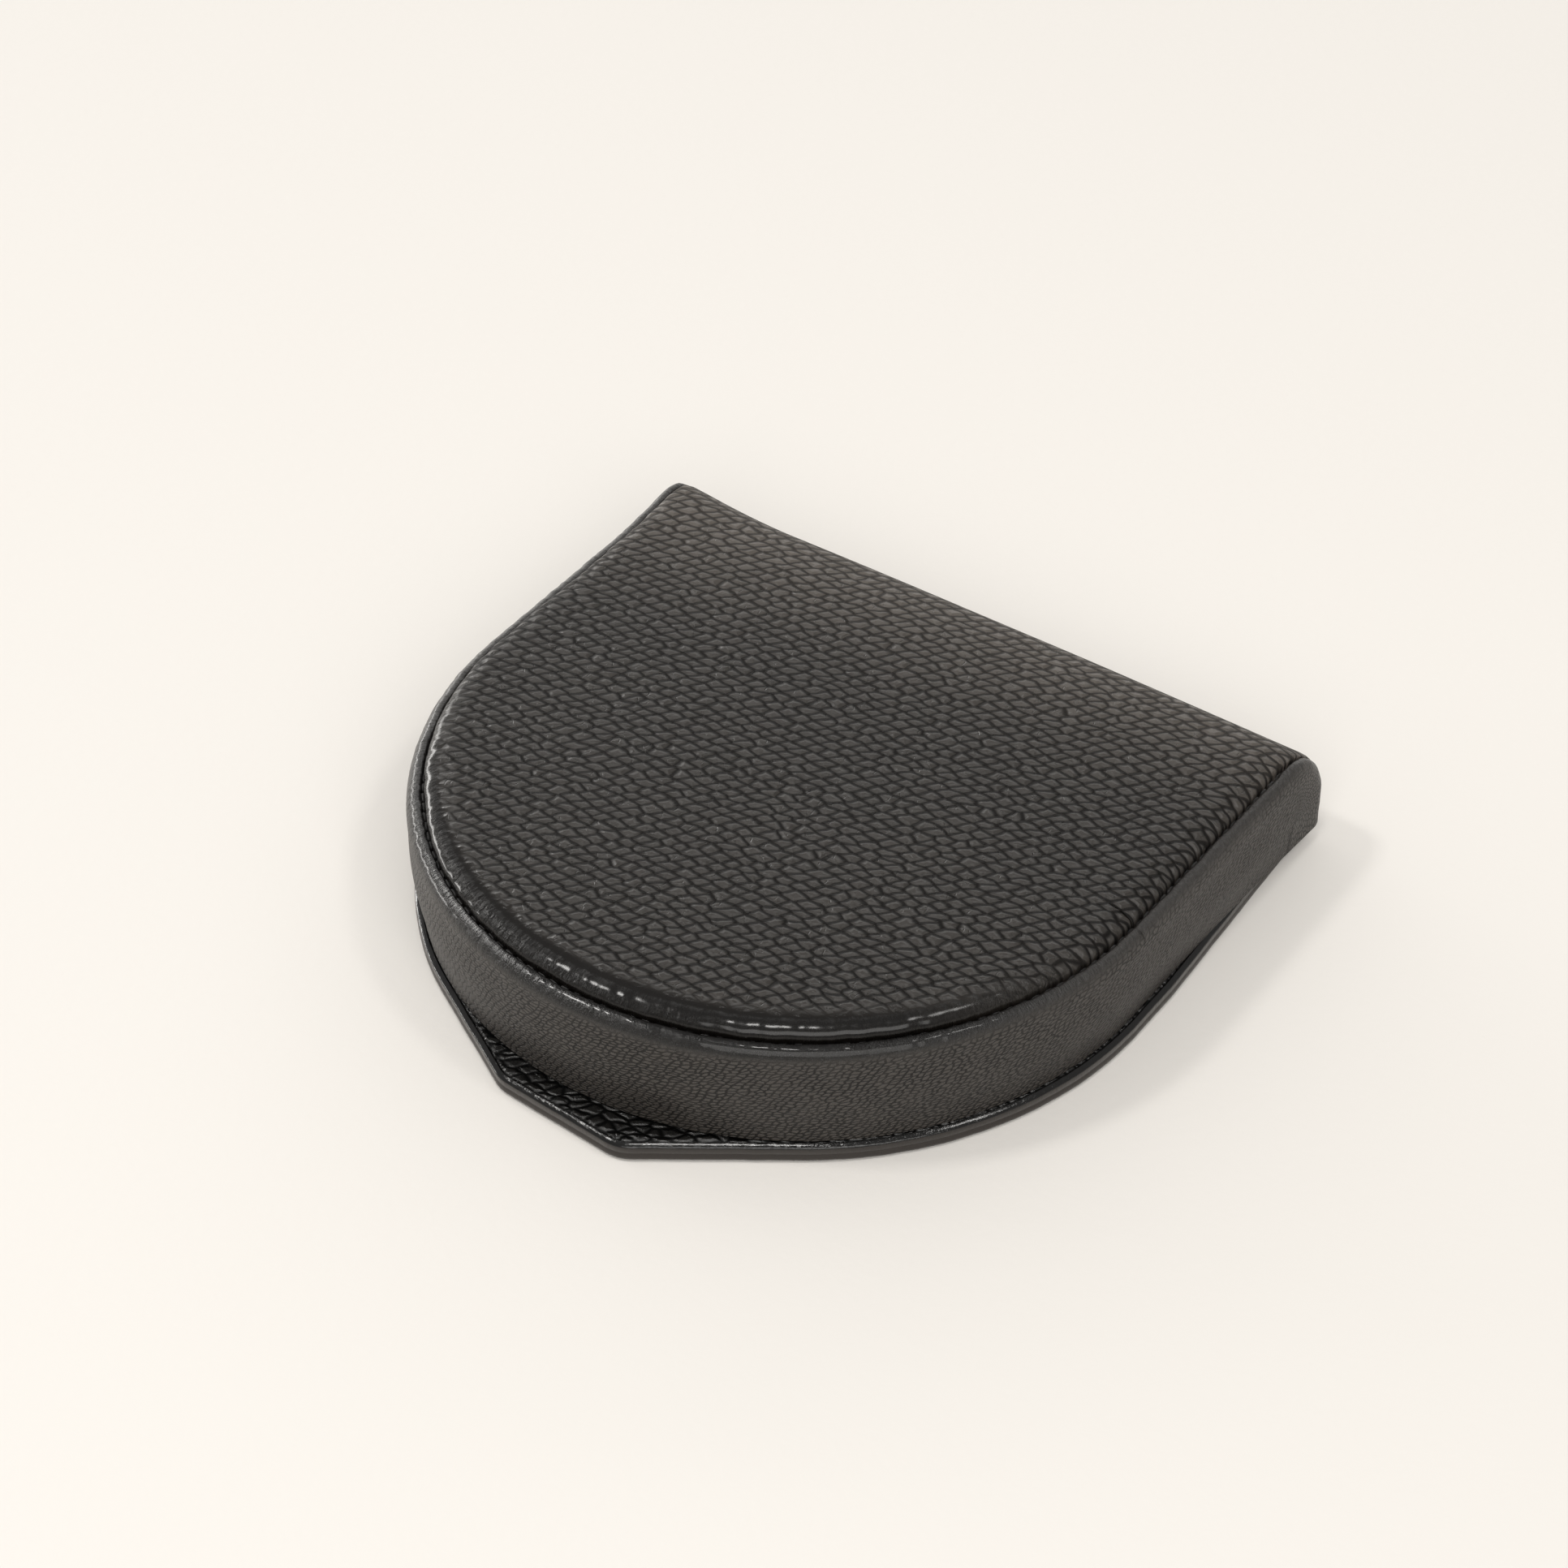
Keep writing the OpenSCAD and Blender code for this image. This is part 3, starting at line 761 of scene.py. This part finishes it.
def side_band():
    """Leather round the lid's side, from inside the seam to under the rim."""
    surface = Surface()
    profile = shoulder_profile()
    inset, depth = profile.T
    path = side_path()
    half_arc = HALF_W * QUARTER
    edge = [(y, down_side(y, f) if w is None else w) for y, w, f, _ in path]
    run = distance_along(np.array(edge))
    run = half_arc + run[-1] - run

    # The shoulder along the straight sides, over the spine's corner and down beside it.
    crest = np.exp(-((np.maximum(depth - CREST_DROP, 0) / CREST_FALL) ** 2))
    feet = []
    for side in (-1, 1):
        s = side * run
        points = np.zeros((len(path), len(profile), 3))
        for row, (y, w, f, inward) in zip(points, path):
            row[:, 1] = y + depth * inward[0]
            row[:, 2] = down_side(row[:, 1], f) if w is None else w + depth * inward[1]
            row[:, 0] = side * (HALF_W - inset + lean(row[:, 2], row[:, 1]) + bulge(row[:, 2], row[:, 1]))
        points[..., 0] += side * band_ripple(s, depth)
        points = lid_to_world(points)
        grain = np.stack(np.meshgrid(s, -depth, indexing="ij"), -1)
        surface.grid(points, grain, crest[None] * band_gloss(s)[:, None], flip=side > 0)
        feet.append((points[0], grain[0], np.array([side, 0.0]), side > 0))

    # The shoulder round the front.
    angle = np.linspace(-QUARTER, QUARTER, int(math.pi * HALF_W / 0.26))
    s = angle * HALF_W
    a, w = np.meshgrid(angle, -depth, indexing="ij")
    y_mid = ARC_Y - HALF_W * np.cos(a)
    r = HALF_W - inset[None] + lean(w, y_mid) + bulge(w, y_mid) + band_ripple(s, depth)
    points = np.stack([r * np.sin(a), ARC_Y - r * np.cos(a), w], -1)
    surface.grid(lid_to_world(points), np.stack([a * HALF_W, w], -1), crest[None] * band_gloss(s)[:, None])

    # The walls below the shoulder, and the rim turned under them.
    bottom, grain = wall(surface, lambda r: r * np.sin(angle),
                         lambda dr: ARC_Y - (HALF_W + dr) * np.cos(angle), s, False)
    hem(surface, bottom, grain, np.column_stack([np.sin(angle), -np.cos(angle)]), False)
    ys = np.array([y for y, w, _, _ in path if w == 0.0])
    for side in (-1, 1):
        s = side * (half_arc + ys - ARC_Y)
        bottom, grain = wall(surface, lambda r: side * r, lambda dr: ys, s, side > 0)
        hem(surface, bottom, grain, np.array([side, 0.0]), side > 0)
    for foot in feet:
        hem(surface, *foot)
    band = surface.piece("side_band", band_material, "band_leather", "lid", weld=0.02)
    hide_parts("side_band_leather")


# ---- lid lining

LINING_W = -2.3        # the lid's ceiling, about its seam plane
LINING_IN = HEM_T + 0.9
LINING_ROUND = 1.2     # rounding of the lining's corners


def lid_lining():
    """Lining of the lid: its ceiling, and its side down to the turned rim."""
    surface = Surface()
    low = RIM_Z + 2.0
    outline = horseshoe(HALF_W - LINING_IN, spine_lining_low[1] + 0.4, LINING_ROUND)

    def place(row):
        """Rows are drawn with heights below 0 in millimetres, and from 0 to 1 at the ceiling."""
        ceiling = lid_to_world(at_height(row[:, :2], LINING_W))[:, 2] - low
        height = row[:, 2]
        return np.column_stack([row[:, :2], low + np.where(height < 0, height, ceiling * height)])

    profile = [(-0.9, -1.88), (-0.3, -1.88), (-0.25, -0.3)]
    profile += [(0.25 - 0.25 * f, f) for f in np.linspace(0, 0.86, 8)]
    profile += [(LINING_ROUND * (1 - math.cos(q)), 0.86 + 0.14 * math.sin(q))
                for q in np.linspace(0, QUARTER, 7)[1:]]
    rings(surface, outline, profile, fill_last=True, place=place)
    lining = surface.piece("lid_lining", lining_material, "lining", "lid")
    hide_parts("side_band_lining", "top_lining", "spine_lining")


# ---- base

TAB_HALF = 10.2        # half the width of the pull tab's straight tip
TAB_CORNER = 4.0       # rounding of the tab's corners
TAB_SKEW = 1.0         # how far the tab's left corner is set back
REAR_TAPER = 6.0       # how far behind the round end's centre the sides start to taper
FLAP_R = outer_high[0]
FLAP_REAR_HALF = HALF_W - 2
BASE_REAR = inner_high[1]
BASE_T = inner_high[2]
LACQUER_T = edge_high[0] - outer_high[0]
EDGE_COUNT = 1600      # points round the lacquered edge


def outward(angle):
    """The direction of an angle that is measured from the tab's direction towards +X."""
    return np.array([math.sin(angle), -math.cos(angle)])


def tab_corner(side):
    """Centre of the tab's corner on a side, and the angle where its round meets the flank."""
    x = TAB_HALF - TAB_CORNER
    y = edge_low[1] + LACQUER_T + TAB_CORNER + (TAB_SKEW if side < 0 else 0)
    turn = math.atan2(x, ARC_Y - y) + math.acos((FLAP_R - TAB_CORNER) / math.hypot(x, ARC_Y - y))
    return np.array([side * x, y]), turn


def flap(grow, rear, spacing=0.45):
    """Outline of the base: the round end, the pull tab and the sides that taper to the rear."""
    front = -math.atan2(TAB_SKEW, 2 * (TAB_HALF - TAB_CORNER))
    r, c = FLAP_R + grow, TAB_CORNER + grow
    taper = ARC_Y + REAR_TAPER
    half = r - (FLAP_R - FLAP_REAR_HALF) * (rear - taper) / (BASE_REAR - taper)
    centre = np.array([0, ARC_Y])
    (right, right_turn), (left, left_turn) = tab_corner(1), tab_corner(-1)
    bends = [(r, ARC_Y), (r, taper), (half, rear), (-half, rear), (-r, taper), (-r, ARC_Y)]
    return np.vstack([
        arc(right, c, front, right_turn, 0.15),
        line(right + c * outward(right_turn), centre + r * outward(right_turn), spacing),
        arc(centre, r, right_turn, QUARTER, spacing),
        *[line(start, end, spacing) for start, end in zip(bends, bends[1:])],
        arc(centre, r, -QUARTER, -left_turn, spacing),
        line(centre + r * outward(-left_turn), left + c * outward(-left_turn), spacing),
        arc(left, c, -left_turn, front, 0.15),
        line(left + c * outward(front), right + c * outward(front), spacing),
    ])


def base_leather(name, profile, rear, material, slot, replaced):
    """A leather of the base, from a profile of (grow, height), with a face over its last row."""
    surface = Surface()
    stack = stacked(lambda grow: flap(grow, rear), profile, len(flap(0, rear)))
    surface.grid(stack, stack[..., :2], closed=True)
    surface.fill(stack[-1], stack[-1, :, :2])
    piece = surface.piece(name, material, slot, "base")
    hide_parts(*replaced)


def bevelled(start, rounds):
    """Profile points from start over rounds, each with its radius and the tilt it ends at."""
    points, tilt = [np.array(start)], 0.0
    for radius, last in rounds:
        centre = points[-1] - radius * np.array([math.sin(tilt), math.cos(tilt)])
        for q in np.linspace(tilt, math.radians(last), 6)[1:]:
            points.append(centre + radius * np.array([math.sin(q), math.cos(q)]))
        tilt = math.radians(last)
    return [tuple(point) for point in points]


def base_edge():
    """Lacquered edge of the base, beaded over its two leathers with a fine groove between."""
    surface = Surface()
    profile = bevelled((LACQUER_T - 0.535, BASE_T + 0.04), [(0.25, 24), (1.5, 40), (0.22, 90)])
    profile += [(LACQUER_T - 0.03, 1.2), (LACQUER_T - 0.10, 1.08), (LACQUER_T - 0.03, 0.96)]
    profile += [(LACQUER_T * math.cos(q) - 0.30 + 0.30 * math.cos(q), 0.62 - 0.60 * math.sin(q))
                for q in np.linspace(0, QUARTER, 9)]
    rear = hinge_low[1] + 3.8
    stack = stacked(lambda grow: flap(grow, rear, 0.3), profile, EDGE_COUNT)

    # The lacquer leaves out the rear edge, where the hinge is.
    shown = stack[0, :, 1] < rear - 0.05
    order = np.roll(np.arange(stack.shape[1]), -int(np.argmin(shown)))
    stack = stack[:, order[shown[order]]]
    run = distance_along(stack[0])
    wave = 0.022 * smooth_noise(run, 2.3, 61) + 0.012 * smooth_noise(run, 0.8, 62)
    way = np.gradient(stack[..., :2], axis=1)
    out = np.stack([way[..., 1], -way[..., 0]], -1)
    out /= np.maximum(np.linalg.norm(out, axis=-1), 1e-9)[..., None]
    stack[..., :2] += out * wave[None, :, None]
    across = np.linspace(0, 1, len(profile))
    grain = np.stack([at_height(run, 3 * v) for v in across])
    surface.grid(stack, grain, across[:, None])
    edge = surface.piece("base_edge", lacquer_material, "edge_lacquer", "base")
    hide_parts("base_edge_lacquer")


def base():
    """The base's two leathers and its edge."""
    top = [(-0.3, 0.95), (-0.25, BASE_T - 0.30), (-0.35, BASE_T - 0.06)]
    top += [(grow, BASE_T) for grow in (-0.7, -1.1, -1.5)]
    base_leather("base_top", top, BASE_REAR, tray_material, "tray_leather", ["base_inner_leather"])
    under = [(-0.25, 0.30), (-0.35, 0.06), (-0.7, 0.0), (-1.1, 0.0), (-1.5, 0.0)]
    base_leather("base_underside", under, outer_high[1], cover_material, "grain_leather",
                 ["base_outer_leather"])
    base_edge()


# ---- hinge

HINGE_T = 0.9          # thickness of the hinge leather
HINGE_CORNER = 1.15    # outer radius of its crease


def hinge_path():
    """The hinge leather's outer line, from the spine down round the corner and under the base,
    as (y, z), its direction outward, and how far along it the point is."""
    t_end = sheet_length()
    top = lid_to_world(sheet_base(np.array([0.0]), np.array([t_end]))[0])[0]
    slope = np.array([-math.sin(TILT), -math.cos(TILT)])
    out = np.array([math.cos(TILT), -math.sin(TILT)])
    reach = (top[2] - HINGE_CORNER * (1 - math.sin(TILT))) / math.cos(TILT)
    bend = top[1:] + slope * reach
    turns = [np.array([math.cos(q), math.sin(q)]) for q in np.linspace(-TILT, -QUARTER, 14)]
    path = [(top[1:] + slope * reach * f, out) for f in np.linspace(0, 1, 14)[:-1]]
    path += [(bend - out * HINGE_CORNER + HINGE_CORNER * n, n) for n in turns]
    last = path[-1][0]
    path += [(np.array([y, last[1]]), np.array([0.0, -1.0]))
             for y in np.linspace(last[0], hinge_low[1], 8)[1:]]
    points, normals = zip(*path)
    points = np.array(points)
    return points, normals, distance_along(points), t_end


def slab(surface, front, back, grain, side_rim):
    """Two grids back to back, closed along their four edges."""
    surface.grid(front, grain)
    surface.grid(back, grain, flip=True)
    for column in (0, -1):
        side = np.stack([front[:, column], back[:, column]], 1)
        surface.grid(side, np.stack([grain[:, column]] * 2, 1), side_rim, flip=column == 0)
    for row in (0, -1):
        surface.grid(np.stack([front[row], back[row]]), np.stack([grain[row]] * 2), flip=row == 0)


def hinge_skin():
    """Outer leather of the hinge, which bends as the lid opens."""
    surface = Surface()
    points, normals, run, t_end = hinge_path()
    half = hinge_high[0]
    d = spaced(half, 0.15, 1.5, 2.0)
    x = np.concatenate([-(half - d), (half - d)[::-1][1:]])
    depth = half - np.abs(x)
    swell = crown_height(depth, np.full_like(x, t_end))
    fade = np.clip(1 - run / run[-1] * 1.3, 0, 1) ** 1.5
    outer, inner, grain = [], [], []
    for (y, z), n, far, keep in zip(points, normals, run, fade):
        rise = swell * keep
        outer.append(np.column_stack([x, y + n[0] * rise, z + n[1] * rise]))
        inner.append(np.column_stack([x, np.full_like(x, y - n[0] * HINGE_T),
                                      np.full_like(x, z - n[1] * HINGE_T)]))
        grain.append(at_height(x, t_end + far))
    slab(surface, np.array(outer), np.array(inner), np.array(grain), 0.5)
    skin = surface.piece("hinge_skin", cover_material, "grain_leather")
    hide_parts("hinge_leather")
    centre_y, centre_z = HINGE_AT[1], HINGE_AT[2]
    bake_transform(skin, "base", "lid", start=(0, (centre_y - 1.6) * MM, (centre_z - 1.1) * MM),
             end=(0, (centre_y + 0.4) * MM, (centre_z + 2.6) * MM))


def hinge_strip():
    """Thin lining across the hinge, behind the tray."""
    surface = Surface()
    y0, y1 = wall_high[1] - 0.3, spine_lining_low[1] + 0.5
    z0, z1 = BASE_T + 0.06, RIM_Z + 2.4
    path = [(y0, z0), (y1 - 0.5, z0), *rounded(y1 - 0.5, z0 + 0.5, 0.5, -QUARTER, -2 * QUARTER)[1:]]
    path += [(y1, z) for z in np.linspace(z0 + 0.5, z1, 7)[1:]]
    x = np.linspace(-1, 1, 121) * hinge_lining_high[0]
    front = np.stack([np.column_stack([x, np.full_like(x, y), np.full_like(x, z)]) for y, z in path])
    grain = np.stack([at_height(x, far) for far in distance_along(np.array(path))])
    slab(surface, front, front + np.array([0, 0.15, -0.15]), grain, 0.0)
    strip = surface.piece("hinge_strip", lining_material, "lining")
    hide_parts("hinge_lining")
    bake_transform(strip, "base", "lid", start=(0, y0 * MM, z0 * MM), end=(0, y1 * MM, (z1 - 0.3) * MM))


# ---- tray and coin cover

TRAY_R = wall_high[0]
TRAY_REAR = wall_high[1]
TRAY_TOP = wall_high[2]
TRAY_WALL_T = 2.0
TRAY_CORNER = 1.6      # rounding of the tray's rear corners, seen from above
SCOOP_R = 45.0         # radius of the scoop in the coin cover
SCOOP_Y = ARC_Y + 3.7 - SCOOP_R
FURROW_IN = 1.7        # the sewn furrow's distance in from the cover's edge


def tray():
    """The tray's leather wall, and the lining of its inside."""
    outline = horseshoe(TRAY_R, TRAY_REAR, TRAY_CORNER)
    outer = [(0, BASE_T)] + [(0, z) for z in np.linspace(BASE_T + 0.3, TRAY_TOP - 0.6, 8)]
    outer += rounded(0.6, TRAY_TOP - 0.6, 0.6)[1:]
    outer += rounded(TRAY_WALL_T - 0.5, TRAY_TOP - 0.5, 0.5, QUARTER, 2 * QUARTER)
    outer += [(TRAY_WALL_T, TRAY_TOP - 1.4)]
    surface = Surface()
    rings(surface, outline, outer, flat_grain=False)
    wall = surface.piece("tray_wall", tray_material, "tray_leather", "base")
    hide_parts("tray_wall_leather")

    floor_z, fillet = floor_high[2], 0.8
    inner = [(TRAY_WALL_T - 0.12, TRAY_TOP - 1.0), (TRAY_WALL_T - 0.08, TRAY_TOP - 2.5)]
    inner += [(TRAY_WALL_T, z) for z in np.linspace(TRAY_TOP - 3, floor_z + fillet, 5)]
    inner += rounded(TRAY_WALL_T + fillet, floor_z + fillet, fillet, 0, -QUARTER)[1:]
    inner += [(TRAY_WALL_T + 2.5, floor_z)]
    surface = Surface()
    rings(surface, outline, inner, fill_last=True, flat_grain=False)
    lining = surface.piece("tray_lining", lining_material, "lining", "base")
    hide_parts("tray_wall_lining", "tray_floor_lining")


def cover_outline(inset, spacing=0.4):
    """The coin cover: the tray's outline behind a wide scoop."""
    r, rear = TRAY_R - inset, TRAY_REAR - inset
    scoop = SCOOP_R + inset
    gap = ARC_Y - SCOOP_Y
    meet_y = SCOOP_Y + (scoop ** 2 - r ** 2 + gap ** 2) / (2 * gap)    # where scoop and round end meet
    meet_x = math.sqrt(scoop ** 2 - (meet_y - SCOOP_Y) ** 2)
    a_end = math.atan2(meet_x, ARC_Y - meet_y)
    s_end = math.atan2(meet_x, SCOOP_Y - meet_y)
    return np.vstack([
        arc((0, ARC_Y), r, a_end, QUARTER, spacing),
        *round_the_rear(r, rear, TRAY_CORNER, spacing, spacing / 3),
        arc((0, ARC_Y), r, -QUARTER, -a_end, spacing),
        arc((0, SCOOP_Y), scoop, -s_end, s_end - 4 * QUARTER, spacing),
    ])


def coin_cover():
    """The leather over the tray's rear half, with its turned edge and a sewn furrow."""
    top, low = cover_high[2], cover_low[2]
    profile = [(0.55, low - 0.38), (0.15, low - 0.30), (0.0, low + 0.05)]
    profile += rounded(0.30, top - 0.30, 0.30)
    profile += [(0.8, top), (1.4, top), (FURROW_IN, top - 0.05), (2.0, top), (3.0, top)]
    stack = stacked(cover_outline, profile, len(cover_outline(0.0)))
    surface = Surface()
    surface.grid(stack, stack[..., :2], closed=True)
    for row in (stack[-1], stack[0]):
        surface.fill(row, row[:, :2])
    cover = surface.piece("coin_cover", tray_material, "tray_leather", "base")
    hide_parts("coin_cover_leather", "coin_cover_lining")


# ---- stitches

THREAD_R = SHEET_R + 0.07     # the lid's seam thread: its place across and its height
THREAD_W = -0.68


def stitches(name, path, body, replaced, radius=0.19, filled=0.72, pitch=3.0):
    """Thread that comes up and goes down again every pitch along a path of points. It shows for the
    filled share of each pitch."""
    run = distance_along(path)
    verts, faces = [], []
    sides, steps = 8, 9
    u = np.linspace(-1, 1, steps)
    lift = radius * (0.55 - 1.9 * np.abs(u) ** 5)
    thick = radius * (1 - 0.35 * u ** 4)
    turn = 2 * math.pi * np.arange(sides) / sides
    for k in range(int(run[-1] / pitch)):
        first = (k + (1 - filled) / 2) * pitch
        at = np.linspace(first, first + filled * pitch, steps)
        centre = np.column_stack([np.interp(at, run, path[:, i]) for i in range(3)])
        way = unit(np.gradient(centre, axis=0))
        side = unit(np.cross(way, (0, 0, 1)))
        rise = np.cross(side, way)
        start = len(verts)
        for i in range(steps):
            round_it = np.outer(np.cos(turn), side[i]) + np.outer(np.sin(turn), rise[i])
            verts += (centre[i] + rise[i] * lift[i] + thick[i] * round_it).tolist()
        faces += grid_faces(steps, sides, start, closed=True).tolist()
        for ring in (start, start + (steps - 1) * sides):
            faces.append([ring + j for j in range(sides)])
    mesh = bpy.data.meshes.new(name)
    mesh.from_pydata((np.array(verts) * MM).tolist(), [], faces)
    bm = bmesh.new()
    bm.from_mesh(mesh)
    bmesh.ops.recalc_face_normals(bm, faces=bm.faces)
    bm.to_mesh(mesh)
    bm.free()
    piece = add_piece(name, mesh, thread_material, body)
    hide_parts(replaced)


def seam_thread():
    """Thread at the bottom of the groove between the top and the side."""
    angle = np.linspace(-QUARTER, QUARTER, 200)
    y_rear = np.linspace(REAR_Y - SPINE_ROUND, ARC_Y, 40, endpoint=False)
    left = np.column_stack([np.full(40, -THREAD_R), y_rear])
    front = np.column_stack([THREAD_R * np.sin(angle), ARC_Y - THREAD_R * np.cos(angle)])
    path = at_height(np.vstack([left, front, (left * [-1, 1])[::-1]]), THREAD_W)
    stitches("seam_thread", lid_to_world(path), "lid", "lid_seam_stitches", 0.16, 0.8, 1.5)


def cover_thread():
    """A row of stitches round the coin cover, over the tray's wall."""
    r, rear = TRAY_R - FURROW_IN, TRAY_REAR - FURROW_IN
    first = QUARTER - 0.16
    path = np.vstack([
        arc((0, ARC_Y), r, first, QUARTER, 0.5),
        *round_the_rear(r, rear, 1.5, 0.5, 0.3),
        arc((0, ARC_Y), r, -QUARTER, -first, 0.5),
    ])
    stitches("cover_thread", at_height(path, cover_high[2]), "base", "coin_cover_stitches")


# ---- making them

lid_cover()
side_band()
lid_lining()
base()
hinge_skin()
hinge_strip()
tray()
coin_cover()
seam_thread()
cover_thread()

for node in ("base_stiffener", "tray_wall_board", "side_band_stiffener", "top_board", "spine_board",
             "top_foam"):
    mesh = frame["nodes"][node].data
    mesh.materials.clear()
    mesh.materials.append(foam_material if node == "top_foam" else board_material)

# ---- stage, light and camera

CAM_TARGET = Vector((-10.5, 14.54, 0.0)) * MM
CAM_AZIMUTH, CAM_ELEVATION, CAM_ROLL = map(math.radians, (35.01, 41.35, -0.55))
CAM_DISTANCE = 491.76 * MM
CAM_LENS, CAM_SENSOR = 108, 36
FLOOR_COLOUR = (0.742, 0.718, 0.684)
WORLD_COLOUR, WORLD_STRENGTH = (1.0, 0.985, 0.965, 1), 0.50
WARM = (1.0, 0.98, 0.95)         # colour of the lamps


def add_camera():
    """The camera, at the angle that the photo was taken from."""
    flat = math.cos(CAM_ELEVATION)
    back = Vector((math.sin(CAM_AZIMUTH) * flat, -math.cos(CAM_AZIMUTH) * flat, math.sin(CAM_ELEVATION)))
    right = Vector((0, 0, 1)).cross(back).normalized()
    up = back.cross(right)
    c, s = math.cos(CAM_ROLL), math.sin(CAM_ROLL)
    right, up = c * right + s * up, c * up - s * right
    data = bpy.data.cameras.new("camera")
    data.lens, data.sensor_width = CAM_LENS, CAM_SENSOR
    camera = bpy.data.objects.new("camera", data)
    bpy.context.scene.collection.objects.link(camera)
    place = Matrix((right, up, back)).transposed().to_4x4()
    place.translation = CAM_TARGET + CAM_DISTANCE * back
    camera.matrix_world = place
    bpy.context.scene.camera = camera


def add_floor():
    """A plain pale table top."""
    bpy.ops.mesh.primitive_plane_add(size=6)
    floor = bpy.context.object
    floor.name = "floor"
    n = Nodes("floor")
    where = n.add("ShaderNodeTexCoord").outputs["Object"]
    fine = n.noise(where, 900.0, 2.0)
    n.finish(FLOOR_COLOUR, n.ramp(fine, 0.3, 0.7, 0.85, 0.95), n.bump(fine, 0.02))
    floor.data.materials.append(n.material)


def add_area(name, size, towards, distance, power):
    """A soft box that faces the purse from a direction."""
    data = bpy.data.lights.new(name, "AREA")
    data.shape = "RECTANGLE"
    data.size, data.size_y = size
    data.energy = power
    data.color = WARM
    lamp = bpy.data.objects.new(name, data)
    direction = Vector(towards).normalized()
    lamp.location = direction * distance
    lamp.rotation_euler = direction.to_track_quat("Z", "Y").to_euler()
    bpy.context.scene.collection.objects.link(lamp)


def add_world():
    """Even light from all round."""
    world = bpy.data.worlds.new("studio")
    world.use_nodes = True
    background = world.node_tree.nodes["Background"]
    background.inputs["Color"].default_value = WORLD_COLOUR
    background.inputs["Strength"].default_value = WORLD_STRENGTH
    bpy.context.scene.world = world


add_camera()
add_floor()
add_world()
add_area("key", (0.15, 0.15), (-0.42, -0.31, 0.855), 1.1, 2.3)
add_area("top", (0.16, 0.09), (0.10, -0.25, 0.963), 1.1, 1.7)
add_area("right", (0.17, 0.17), (0.47, 0.07, 0.88), 1.2, 1.5)
add_area("left", (1.2, 0.2), (-0.99, 0.10, 0.10), 1.2, 9.4)
add_area("back", (1.6, 0.4), (-0.45, 0.90, 0.27), 1.3, 4.2)
add_area("front", (1.2, 0.8), (0.50, -0.63, 0.60), 1.4, 11.4)
bpy.context.scene.view_settings.view_transform = "Standard"
